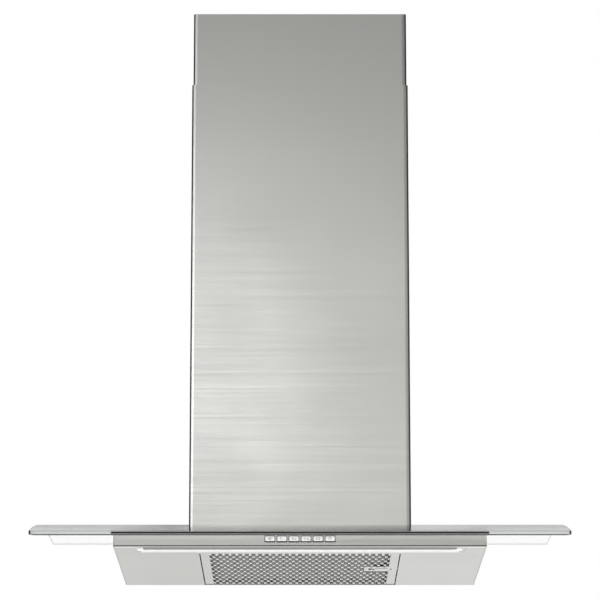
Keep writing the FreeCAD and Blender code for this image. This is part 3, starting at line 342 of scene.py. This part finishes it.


# The lens is a shallow tray: its lip stands against the recess's flare. Its front part is painted dark
# as the shade of the panel's front edge. The lower rear edge of its lip and the stretches near its ends
# glow: a painted highlight. Its rounded ends are a lighter copy of its colour: painted light.
low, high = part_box("light_lens")
tree, shader, moulded_colour = surface_of(lens_plastic)
x, y, z = object_axes(tree)
lit = add_step(tree, y, low.y + shade_depth, low.y + shade_depth + shade_blur)
side = add_math(tree, "ABSOLUTE", x)
end = high.x - lens_end
ended = add_step(tree, side, end - lens_end_blur, end + lens_end_blur)
end_lit = add_step(tree, y, low.y + shade_depth / 2, low.y + shade_depth * end_shade_share)
ended = add_product(tree, ended, end_lit)
end = high.x - lens_cap
capped = add_step(tree, side, end - lens_cap_blur, end + lens_cap_blur)
lit = add_math(tree, "MAXIMUM", lit, ended)
spread = add_blend(tree, lit, lens_shade, moulded_colour)
tree.links.new(add_blend(tree, capped, spread, lens_cap_lit_colour), shader.inputs["Base Color"])
glow = add_step(tree, z, low.z - glow_drop, low.z - glow_drop_full)
glow = add_product(tree, glow, add_step(tree, y, high.y - glow_rear, high.y - glow_rear_full))
glow = add_math(tree, "MAXIMUM", glow, ended)
glow = add_product(tree, glow, add_math(tree, "SUBTRACT", 1.0, capped))
tree.links.new(add_blend(tree, glow, lens_dark, lens_glow), shader.inputs["Emission Color"])
shader.inputs["Emission Strength"].default_value = 1
radius = (high.y - low.y) / 2
middle = (low + high) / 2
lens = bmesh.new()
made = bmesh.ops.create_circle(lens, cap_ends=True, radius=radius, segments=lens_segments)["verts"]
for vert in made:
    vert.co.x += math.copysign((high.x - low.x) / 2 - radius, vert.co.x)
bmesh.ops.translate(lens, vec=(middle.x, middle.y, high.z), verts=made)
sheet = lens.faces[:]
bmesh.ops.recalc_face_normals(lens, faces=sheet)
base = bmesh.ops.extrude_face_region(lens, geom=sheet)
lowered = [item for item in base["geom"] if isinstance(item, bmesh.types.BMVert)]
bmesh.ops.translate(lens, vec=(0, 0, low.z - high.z), verts=lowered)
bottom = [item for item in base["geom"] if isinstance(item, bmesh.types.BMFace)]
bmesh.ops.inset_region(lens, faces=bottom, thickness=lens_lip_width, use_even_offset=True)
rim = [face for face in lens.faces
       if face not in bottom and all(abs(v.co.z - low.z) < flat_limit for v in face.verts)]
raised = bmesh.ops.extrude_face_region(lens, geom=rim)
for item in raised["geom"]:
    if isinstance(item, bmesh.types.BMVert):
        item.co.z -= lens_lip
bmesh.ops.delete(lens, geom=rim, context="FACES_ONLY")
bmesh.ops.recalc_face_normals(lens, faces=lens.faces[:])
lens_piece = finish_piece("lamp_lens", lens, lens_plastic, "hood")
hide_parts("light_lens")

# Push buttons: six white moulded caps with printed light grey symbols, in a
# black carrier clipped behind the front strip. Each slides 1.5 mm inwards.
cap_colour = (0.95, 0.95, 0.95, 1)
print_colour = (0.36, 0.36, 0.37, 1)
black_colour = (0.018, 0.018, 0.019, 1)
cap_edge = 0.0006
cap_corner = 0.0012
cap_depth = 0.0088
collar_overhang = 0.0005
button_count = 6
symbol_radius = 0.0024
symbol_line = 0.0007
gap_shade_width = 0.0009
cap_gap = 0.0009
gap_shade_rise = 0.00025
symbol_thickness = 0.00006

white_plastic = moulded_plastic("white_plastic", cap_colour, roughness=0.35, size=1500, depth=0.00001)
printed_grey = moulded_plastic("printed_grey", print_colour, roughness=0.5, size=1500, depth=0.00001)
black_plastic = moulded_plastic("black_plastic", black_colour, roughness=0.5, size=1300, depth=0.00003)


def flat_bar(shape, x, z, width, height):
    made = bmesh.ops.create_cube(shape, size=1)["verts"]
    bmesh.ops.scale(shape, vec=(width, symbol_thickness, height), verts=made)
    bmesh.ops.translate(shape, vec=(x, 0, z), verts=made)


def flat_ring(shape, x, z, radius, line, start, sweep, steps):
    tilt = Matrix.Rotation(start, 4, "Y")
    corners = [(radius - line / 2, -0.5), (radius + line / 2, -0.5),
               (radius + line / 2, 0.5), (radius - line / 2, 0.5)]
    verts = [shape.verts.new(tilt @ Vector((r, y * symbol_thickness, 0))) for r, y in corners]
    face = shape.faces.new(verts)
    full = sweep >= 2 * math.pi
    swept = bmesh.ops.spin(shape, geom=[face] + face.edges[:] + verts, cent=(0, 0, 0),
                           axis=(0, 1, 0), angle=sweep, steps=steps, use_merge=full,
                           use_duplicate=False)
    ring = {vert for item in swept["geom_last"] for vert in getattr(item, "verts", [])}
    linked = set(verts) | ring
    grow = list(linked)
    while grow:
        vert = grow.pop()
        for edge in vert.link_edges:
            other = edge.other_vert(vert)
            if other not in linked:
                linked.add(other)
                grow.append(other)
    bmesh.ops.translate(shape, vec=(x, 0, z), verts=list(linked))


# The symbols are drawn in shares of their radius: a ringed stack of bars, one
# to three bars beside an open ring, a frame, and a ring with a bar on top.
def draw_symbol(shape, index):
    turn = 2 * math.pi
    if index in (1, 6):
        flat_ring(shape, 0, 0, symbol_radius * 0.8, symbol_line, 0, turn, 20)
    if index == 1:
        for i in range(3):
            flat_bar(shape, 0, symbol_radius * (i - 1) * 0.45, symbol_radius * 0.8,
                     symbol_line * 0.7)
    if index == 6:
        flat_bar(shape, 0, symbol_radius * 0.75, symbol_line, symbol_radius * 1.1)
    if index in (2, 3, 4):
        flat_ring(shape, -symbol_radius * 0.5, symbol_radius * 0.15, symbol_radius * 0.55,
                  symbol_line, math.radians(40), turn * 0.7, 12)
        for i in range(index - 1):
            flat_bar(shape, symbol_radius * (0.45 + 0.5 * i), -symbol_radius * 0.3, symbol_line,
                     symbol_radius * (0.7 + 0.4 * i))
    if index == 5:
        for side in (-1, 1):
            flat_bar(shape, 0, side * symbol_radius * 0.6, symbol_radius * 2.2, symbol_line)
            flat_bar(shape, side * symbol_radius * 0.95, 0, symbol_line, symbol_radius * 1.2)


strip_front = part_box("body_shell")[0].y
for index in range(1, button_count + 1):
    node = "button_" + str(index)
    low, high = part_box(node)
    middle = (low + high) / 2
    width = high.x - low.x - 2 * collar_overhang
    height = high.z - low.z - 2 * collar_overhang
    cap = bmesh.new()
    made = bmesh.ops.create_cube(cap, size=1)["verts"]
    bmesh.ops.scale(cap, vec=(width, cap_depth, height - cap_gap), verts=made)
    cap_middle = (middle.x, low.y + cap_depth / 2, middle.z + cap_gap / 2)
    bmesh.ops.translate(cap, vec=cap_middle, verts=made)
    corners = [edge for edge in cap.edges
               if abs(edge.verts[0].co.y - edge.verts[1].co.y) > cap_edge]
    bmesh.ops.bevel(cap, geom=corners, offset=cap_corner, segments=4, profile=0.5,
                    affect="EDGES", material=-1)
    rim = [edge for edge in cap.edges
           if max(vert.co.y for vert in edge.verts) < low.y + cap_edge / 2]
    bmesh.ops.bevel(cap, geom=rim, offset=cap_edge, segments=3, profile=0.5,
                    affect="EDGES", material=-1)
    piece = finish_piece(node + "_cap", cap, white_plastic, node)
    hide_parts(node)
    # Round each cap a thin black frame stands on the strip: a dark sheet put in as painted shade of the
    # gap round the cap.
    gap_shade = bmesh.new()
    made = bmesh.ops.create_grid(gap_shade, x_segments=1, y_segments=1, size=0.5)["verts"]
    upright = Matrix.Rotation(math.pi / 2, 3, "X")
    bmesh.ops.rotate(gap_shade, cent=(0, 0, 0), matrix=upright, verts=made)
    spread = (width + 2 * gap_shade_width, 1, height + 2 * gap_shade_width)
    bmesh.ops.scale(gap_shade, vec=spread, verts=made)
    seat = (middle.x, strip_front - gap_shade_rise, middle.z)
    bmesh.ops.translate(gap_shade, vec=seat, verts=made)
    inner = gap_shade.faces[:]
    bmesh.ops.inset_region(gap_shade, faces=inner, thickness=gap_shade_width, use_boundary=True)
    bmesh.ops.delete(gap_shade, geom=inner, context="FACES")
    bmesh.ops.solidify(gap_shade, geom=gap_shade.faces[:], thickness=-gap_shade_rise)
    bmesh.ops.recalc_face_normals(gap_shade, faces=gap_shade.faces[:])
    finish_piece(node + "_surround", gap_shade, black_plastic, "hood")
    symbol = bmesh.new()
    draw_symbol(symbol, index)
    seat = (middle.x, low.y + symbol_thickness / 2, middle.z + cap_gap / 2)
    bmesh.ops.translate(symbol, vec=seat, verts=symbol.verts[:])
    bmesh.ops.recalc_face_normals(symbol, faces=symbol.faces[:])
    finish_piece(node + "_symbol", symbol, printed_grey, node)
dress("button_carrier", black_plastic)
dress("button_switches", black_plastic)
dress("control_board", circuit_board)

# Glass canopy: one pane of clear toughened glass, bent front to back, with
# ground edges. It lies on a black rubber gasket and is screwed down under
# the chimney, with plastic washers above and below the pane.
glass_colour = (0.955, 0.965, 0.96, 1)
edge_colour = (0.57, 0.595, 0.585, 1)
seated_shade_colour = (0.36, 0.375, 0.37, 1)
arris_shade_colour = (0.02, 0.022, 0.021, 1)
rubber_colour = (0.012, 0.012, 0.012, 1)
glass_front = -0.5
glass_low = -0.18005
seal_low = 0.0027
seal_high = 0.0055
arris_low = 0.0014
arris_high = 0.0020
corner_start = 0.3945
corner_end = 0.3970
seal_half = 0.2775
seal_end_blur = 0.001
seal_blur = 0.0002
seal_depth = 0.002
seal_depth_full = 0.001
edge_specular = 0.15
edge_limit = 0.93
rear_limit = 0.5

canopy_glass, tree, shader = new_material("canopy_glass", 0, 0.02, glass_colour)
shader.inputs["Transmission Weight"].default_value = 1
shader.inputs["IOR"].default_value = 1.5
smear = add_noise(tree, object_place(tree), 7, 4)
tree.links.new(add_math(tree, "MULTIPLY", smear, 0.04), shader.inputs["Roughness"])

# The ground edges scatter the light. Painted on them are shade on the lower arris and at the corners, a
# darker band between the body's sides, and in front the gasket's line as it shows through the glass, a
# painted reflection.
glass_edge, tree, shader = new_material("glass_edge", 0, 0.3, edge_colour)
shader.inputs["Specular IOR Level"].default_value = edge_specular
x, y, z = object_axes(tree)
side = add_math(tree, "ABSOLUTE", x)
arris = add_step(tree, z, glass_low + arris_high, glass_low + arris_low)
across = add_step(tree, side, seal_half + seal_end_blur, seal_half - seal_end_blur)
level = glass_low + seal_low
above = add_step(tree, z, level - seal_blur, level + seal_blur)
level = glass_low + seal_high
below = add_step(tree, z, level + seal_blur, level - seal_blur)
front = add_step(tree, y, glass_front + seal_depth, glass_front + seal_depth_full)
line = add_product(tree, above, below, across, front)
seated_shade = add_blend(tree, across, edge_colour, seated_shade_colour)
corner = add_step(tree, side, corner_start, corner_end)
edged = add_blend(tree, add_math(tree, "MAXIMUM", arris, corner), seated_shade, arris_shade_colour)
tree.links.new(add_blend(tree, line, edged, rubber_colour), shader.inputs["Base Color"])

# The rear edge stands against the wall. It is ground dull all over, and its
# gloss varies a little from place to place.
glass_rear, tree, shader = new_material("glass_rear", 0, 0.4, edge_colour)
shader.inputs["Specular IOR Level"].default_value = edge_specular
smear = add_noise(tree, object_place(tree), 900, 2)
tree.links.new(add_math(tree, "MULTIPLY_ADD", smear, 0.2, 0.3), shader.inputs["Roughness"])
black_rubber = moulded_plastic("black_rubber", rubber_colour, roughness=0.62, size=1100, depth=0.00004)
dress("glass_canopy", canopy_glass)
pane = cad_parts["glass_canopy"].data
pane.materials.append(glass_edge)
pane.materials.append(glass_rear)
for face in pane.polygons:
    if abs(face.normal.z) < edge_limit:
        face.material_index = 1 if face.normal.y < rear_limit else 2
dress("glass_gasket", black_rubber)
dress("glass_washers", black_plastic)

# Screws: zinc plated steel with plain rounded heads. The ones here hold the
# glass and the underside panel, and the other sets share their material.
zinc_colour = (0.62, 0.62, 0.60, 1)
zinc_steel = ground_metal("zinc_steel", zinc_colour, roughness=0.3, contrast=0.05,
                          stretch=(400, 400, 400), depth=0.00002)
for node in ("glass_screws", "panel_screws"):
    dress(node, zinc_steel)

# Motor box and hanging plate: galvanised sheet with its crystal pattern,
# folded and spot welded, and hidden by the chimney in use.
galvanised_colour = (0.50, 0.51, 0.52, 1)
spangle_size = 90

galvanised, tree, shader = new_material("galvanised", 1, 0.42, galvanised_colour)
crystal = add_node(tree, "ShaderNodeTexVoronoi")
crystal.inputs["Scale"].default_value = spangle_size
tree.links.new(object_place(tree), crystal.inputs["Vector"])
spangle = add_node(tree, "ShaderNodeSeparateColor")
tree.links.new(crystal.outputs["Color"], spangle.inputs["Color"])
level = add_math(tree, "MULTIPLY_ADD", spangle.outputs["Red"], 0.18, 0.82)
colour = add_node(tree, "ShaderNodeRGB")
colour.outputs[0].default_value = galvanised_colour
tree.links.new(add_shade(tree, colour.outputs[0], level), shader.inputs["Base Color"])
gloss = add_math(tree, "MULTIPLY_ADD", spangle.outputs["Green"], 0.15, 0.35)
tree.links.new(gloss, shader.inputs["Roughness"])
for node in ("box_wrap", "box_back", "box_lid", "hanging_plate", "chimney_clips",
             "chimney_bracket", "motor_spider", "capacitor_clip", "filter_hinge_lugs"):
    dress(node, galvanised)

# Blower: two black moulded halves round a grey moulded impeller, on the
# steel shaft of a motor that hangs in the right inlet on rubber bushes.
wheel_colour = (0.16, 0.165, 0.17, 1)
motor_colour = (0.45, 0.45, 0.45, 1)
grey_plastic = moulded_plastic("grey_plastic", wheel_colour, roughness=0.5, size=1200, depth=0.00003)
motor_metal = ground_metal("motor_metal", motor_colour, roughness=0.38, contrast=0.08,
                           stretch=(grain_fineness, 60, 60), depth=grain_bump)
dress("blower_housing_left", black_plastic)
dress("blower_housing_right", black_plastic)
dress("impeller", grey_plastic)
dress("motor", motor_metal)
dress("motor_shaft", motor_metal)
dress("motor_bushes", black_rubber)

# Outlet collar: a grey moulding screwed over the blower's mouth. Two flaps
# of the same plastic swing on a steel pin and fall shut.
for node in ("outlet_collar", "duct_spigot", "flap_left", "flap_right"):
    dress(node, grey_plastic)
dress("flap_pin", motor_metal)
dress("outlet_screws", zinc_steel)

# Electrical pieces: a black power box, a pale capacitor in its clip, and the
# black gland for the supply cable.
can_colour = (0.78, 0.78, 0.76, 1)
capacitor_can = moulded_plastic("capacitor_can", can_colour, roughness=0.3, size=900, depth=0.00001)
dress("power_box", black_plastic)
dress("run_capacitor", capacitor_can)
dress("cable_gland", black_plastic)

# Chimney: two folded sheets of the same ground stainless as the body. The
# upper one slides inside the lower one and is screwed to the wall bracket.
fold_shade_colour = (0.10, 0.10, 0.095, 1)
left_shoulder_highlight = (0.99, 0.99, 0.97, 1)
right_shoulder_shade = (0.40, 0.40, 0.385, 1)
fold_width = 0.0026
shoulder_width = 0.0062
fold_depth = 0.004
fold_blur = 0.0006
left_blur = 0.0008
right_blur_in = 0.002
right_blur_out = 0.001

# On each sheet's front face a highlight is painted along the left bend's shoulder and shade along the
# right one, and the folds at both sides are painted dark as shade.
for node in ("chimney_lower", "chimney_upper"):
    chimney_steel = upright_grain(node + "_steel", steel_colour)
    tree, shader, ground_colour = surface_of(chimney_steel)
    x, y, z = object_axes(tree)
    low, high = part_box(node)
    near = add_step(tree, y, low.y + fold_depth, low.y + fold_depth / 2)
    start = low.x + shoulder_width
    left = add_step(tree, x, start, start - left_blur)
    start = high.x - shoulder_width
    right = add_step(tree, x, start - right_blur_in, start + right_blur_out)
    bent = add_blend(tree, add_product(tree, near, left), ground_colour, left_shoulder_highlight)
    bent = add_blend(tree, add_product(tree, near, right), bent, right_shoulder_shade)
    start = high.x - fold_width
    fold = add_step(tree, add_math(tree, "ABSOLUTE", x), start, start + fold_blur)
    folded = add_blend(tree, add_product(tree, near, fold), bent, fold_shade_colour)
    tree.links.new(folded, shader.inputs["Base Color"])
    dress(node, chimney_steel)
dress("chimney_screws", zinc_steel)

# Grease filter: a folded aluminium rim round a net of expanded aluminium
# with a folded core behind it. The net's strands are slit and stretched, so
# each is twisted a little out of the net's plane.
aluminium_colour = (0.66, 0.66, 0.65, 1)
net_lit_colour = (0.92, 0.92, 0.90, 1)
strand_shade_colour = (0.40, 0.40, 0.39, 1)
core_shade_colour = (0.34, 0.34, 0.33, 1)
net_across = 0.010
net_along = 0.040
bond_half_width = 0.0018
bond_half_length = 0.0048
net_metal = 0.0005
net_twist = 0.00035
net_dish = 0.0014
net_dish_width = 0.003
net_dish_edge = 0.0115
net_rear_lap = 0.0066

filter_metal = ground_metal("filter_metal", aluminium_colour, roughness=0.36, contrast=0.06,
                            stretch=(grain_length, 500, 500), depth=grain_bump)
# The net's bonds are a lighter copy of the aluminium, and its strands and the core are darker copies:
# painted light and painted shade.
net_lit_aluminium = ground_metal("net_lit_aluminium", net_lit_colour, roughness=0.4, contrast=0.1,
                             stretch=(700, 700, 700), depth=grain_bump)
strand_shaded_aluminium = ground_metal("strand_shaded_aluminium", strand_shade_colour, roughness=0.45, contrast=0.2,
                                stretch=(700, 700, 700), depth=grain_bump)
core_shaded_aluminium = ground_metal("core_shaded_aluminium", core_shade_colour, roughness=0.5, contrast=0.3,
                              stretch=(900, 900, 900), depth=grain_bump)
dress("filter_frame", filter_metal)
dress("filter_core", core_shaded_aluminium)

low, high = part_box("filter_outer_net")
middle = (low + high) / 2
high.y += net_rear_lap
latch_low, latch_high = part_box("filter_latch_plate")
columns = math.ceil((high.x - low.x) / net_across) + 1
rows = math.ceil((high.y - low.y) / net_along) + 1
cell = bmesh.new()
bonds = {}
for row in range(-rows, rows + 1):
    for column in range(-columns, columns + 1):
        x = middle.x + column * net_across / 2
        y = middle.y + row * net_along / 2
        beside_latch = x > latch_low.x - bond_half_width and latch_low.y < y < latch_high.y
        if (row + column) % 2 or beside_latch:
            continue
        corners = [(-1, -1), (0, -1), (1, -1), (1, 1), (0, 1), (-1, 1)]
        bonds[column, row] = [cell.verts.new((x + i * bond_half_width, y + j * bond_half_length,
                                              middle.z + i * net_twist)) for i, j in corners]
        cell.faces.new(bonds[column, row])
for (column, row), bond in bonds.items():
    right = bonds.get((column + 1, row + 1))
    left = bonds.get((column - 1, row + 1))
    if right:
        cell.faces.new((bond[4], bond[3], right[1], right[0])).material_index = 1
    if left:
        cell.faces.new((bond[5], bond[4], left[2], left[1])).material_index = 1
for corner, normal in ((low, (-1, 0, 0)), (low, (0, -1, 0)), (high, (1, 0, 0)), (high, (0, 1, 0))):
    bmesh.ops.bisect_plane(cell, geom=cell.verts[:] + cell.edges[:] + cell.faces[:],
                           plane_co=corner, plane_no=normal, clear_outer=True)
for vert in cell.verts:
    inset = min(vert.co.x - low.x, high.x - vert.co.x, vert.co.y - low.y)
    vert.co.z -= net_dish * min(1, max(0, inset - net_dish_edge) / net_dish_width)
bmesh.ops.solidify(cell, geom=cell.faces[:], thickness=net_metal)
bmesh.ops.recalc_face_normals(cell, faces=cell.faces[:])
net = finish_piece("filter_net", cell, net_lit_aluminium, "filter")
net.data.materials.append(strand_shaded_aluminium)
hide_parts("filter_outer_net")

# Filter latch: a pressed stainless plate let into the net beside the rim,
# with the slider's finger tab in its slot.
latch_steel = ground_metal("latch_steel", steel_colour, roughness=0.3, contrast=0.04,
                           stretch=(60, 900, 60), depth=grain_bump)
for node in ("filter_latch_plate", "filter_latch", "filter_latch_spring"):
    dress(node, latch_steel)

# Studio: a pale floor far below, two soft lamps, and a world that is white to
# the camera and through glass and has darker and lighter bands in reflections.
floor_height = -1.9
floor_half = 6.0
floor_colour = (0.82, 0.82, 0.81, 1)
floor_lift = 0.42
floor_far_lift = 0.42
floor_near = 1.5
white = (1, 1, 1, 1)
profile_top = 4.0
front_stops = [(-1, 0.5), (-0.1, 0.5), (0.06, 0.7), (0.13, 1.75), (0.219, 1.75),
               (0.278, 0.03), (0.6, 0.08), (1, 0.4)]
rear_stops = [(-1, 0.5), (-0.5, 0.9), (-0.35, 1.07), (-0.05, 1.07), (0.05, 0.66),
              (0.6, 0.58), (1, 0.6)]
rear_side_stops = [(-1, 0.08), (-0.35, 0.08), (-0.2, 1.0), (0.2, 1.0), (0.35, 0.08), (1, 0.08)]
side_stops = [(-1, 0.6), (-0.5, 0.6), (-0.25, 1.15), (0.1, 1.0), (0.3, 0.45), (1, 0.45)]
slant_stops = [(-1, 0.46), (-0.12, 0.46), (-0.1, 0.92), (-0.052, 0.92), (-0.04, 0.58),
               (0.04, 1.08), (0.052, 0.92), (0.1, 0.92), (0.12, 1.21), (1, 1.21)]
band_start = (0.02, 0.1)
band_end = (0.55, 0.4)
rear_start = (-0.1, 0.2)
camera_distance = 4.8566
camera_drop = 0.7939
camera_pitch = 0.23418
camera_lens = 201.0
glass_reach = 0.5
hang_rise = 0.19
view_depth = 50

floor = bmesh.new()
bmesh.ops.create_grid(floor, x_segments=1, y_segments=1, size=floor_half)
bmesh.ops.translate(floor, vec=(0, 0, floor_height), verts=floor.verts[:])
floor_mesh = bpy.data.meshes.new("floor")
floor.to_mesh(floor_mesh)
floor.free()
floor_piece = bpy.data.objects.new("floor", floor_mesh)
bpy.context.scene.collection.objects.link(floor_piece)
floor_paint, tree, shader = new_material("floor_paint", 0, 0.9, floor_colour)
away = add_node(tree, "ShaderNodeVectorMath", operation="LENGTH")
tree.links.new(object_place(tree), away.inputs[0])
farness = add_step(tree, away.outputs["Value"], floor_near, floor_half)
rays = add_node(tree, "ShaderNodeLightPath")
seen = add_math(tree, "MAXIMUM", rays.outputs["Is Camera Ray"], rays.outputs["Is Transmission Ray"])
seen = add_math(tree, "MAXIMUM", seen, rays.outputs["Is Glossy Ray"])
shader.inputs["Emission Color"].default_value = white
lift = add_math(tree, "MULTIPLY_ADD", farness, floor_far_lift, floor_lift)
tree.links.new(add_math(tree, "MULTIPLY", seen, lift), shader.inputs["Emission Strength"])
beneath = add_node(tree, "ShaderNodeNewGeometry").outputs["Backfacing"]
tree.links.new(add_math(tree, "SUBTRACT", 1.0, beneath), shader.inputs["Alpha"])
floor_mesh.materials.append(floor_paint)

world = bpy.data.worlds.new("studio")
bpy.context.scene.world = world
world.use_nodes = True
tree = world.node_tree
background = tree.nodes["Background"]
direction = add_node(tree, "ShaderNodeTexCoord").outputs["Generated"]
split = add_node(tree, "ShaderNodeSeparateXYZ")
tree.links.new(direction, split.inputs["Vector"])


def add_profile(stops, value):
    ramp = add_node(tree, "ShaderNodeFloatCurve")
    points = ramp.mapping.curves[0].points
    while len(points) < len(stops):
        points.new(0.5, 0.5)
    for point, (rise, level) in zip(points, stops):
        point.location = ((rise + 1) / 2, level / profile_top)
        point.handle_type = "VECTOR"
    ramp.mapping.update()
    tree.links.new(add_math(tree, "MULTIPLY_ADD", value, 0.5, 0.5), ramp.inputs["Value"])
    return add_math(tree, "MULTIPLY", ramp.outputs["Value"], profile_top)


ahead = add_profile(front_stops, split.outputs["Z"])
behind = add_profile(rear_stops, split.outputs["Z"])
sideways = add_profile(side_stops, split.outputs["X"])
above = add_step(tree, split.outputs["Z"], *band_start)
below = add_step(tree, split.outputs["Z"], *band_end)
band = add_product(tree, above, below)
swing = add_math(tree, "MULTIPLY_ADD", band, add_math(tree, "SUBTRACT", sideways, 1.0), 1.0)
slant = add_profile(slant_stops, split.outputs["X"])
shaded = add_math(tree, "SUBTRACT", add_profile(rear_side_stops, split.outputs["X"]), 1.0)
slant = add_product(tree, slant, add_math(tree, "MULTIPLY_ADD", band, shaded, 1.0))
ahead = add_product(tree, ahead, swing)
behind = add_product(tree, behind, slant)
mask = add_step(tree, split.outputs["Y"], *rear_start)
level = add_math(tree, "MULTIPLY_ADD", mask, add_math(tree, "SUBTRACT", behind, ahead), ahead)
grey = add_node(tree, "ShaderNodeCombineColor")
for name in ("Red", "Green", "Blue"):
    tree.links.new(level, grey.inputs[name])
rays = add_node(tree, "ShaderNodeLightPath")
clear = add_math(tree, "MAXIMUM", rays.outputs["Is Camera Ray"], rays.outputs["Is Transmission Ray"])
shown = add_blend(tree, clear, grey.outputs["Color"], white)
tree.links.new(shown, background.inputs["Color"])


def soft_lamp(name, place, target, size, power):
    lamp = bpy.data.lights.new(name, "AREA")
    lamp.shape = "SQUARE"
    lamp.size = size
    lamp.energy = power
    holder = bpy.data.objects.new(name, lamp)
    bpy.context.scene.collection.objects.link(holder)
    holder.visible_camera = False
    holder.location = place
    holder.rotation_euler = (Vector(target) - Vector(place)).to_track_quat("-Z", "Y").to_euler()
    return holder


soft_lamp("left_lamp", place=(-0.3, -2.2, 0.56), target=(0, -0.2, 0.2), size=0.5, power=1.3)
front_lamp = soft_lamp("front_lamp", place=(0.3, -4.0, -0.9), target=(0, -0.4, -0.1), size=2.4, power=95)
front_lamp.visible_glossy = False
front_lamp.visible_transmission = False

camera = bpy.data.cameras.new("camera")
camera.lens = camera_lens
camera.clip_end = view_depth
holder = bpy.data.objects.new("camera", camera)
bpy.context.scene.collection.objects.link(holder)
holder.location = (0, -glass_reach - camera_distance, -hang_rise - camera_drop)
holder.rotation_euler = (math.pi / 2 + camera_pitch, 0, 0)
bpy.context.scene.camera = holder
bpy.context.scene.view_settings.view_transform = "Standard"

bpy.context.view_layer.update()
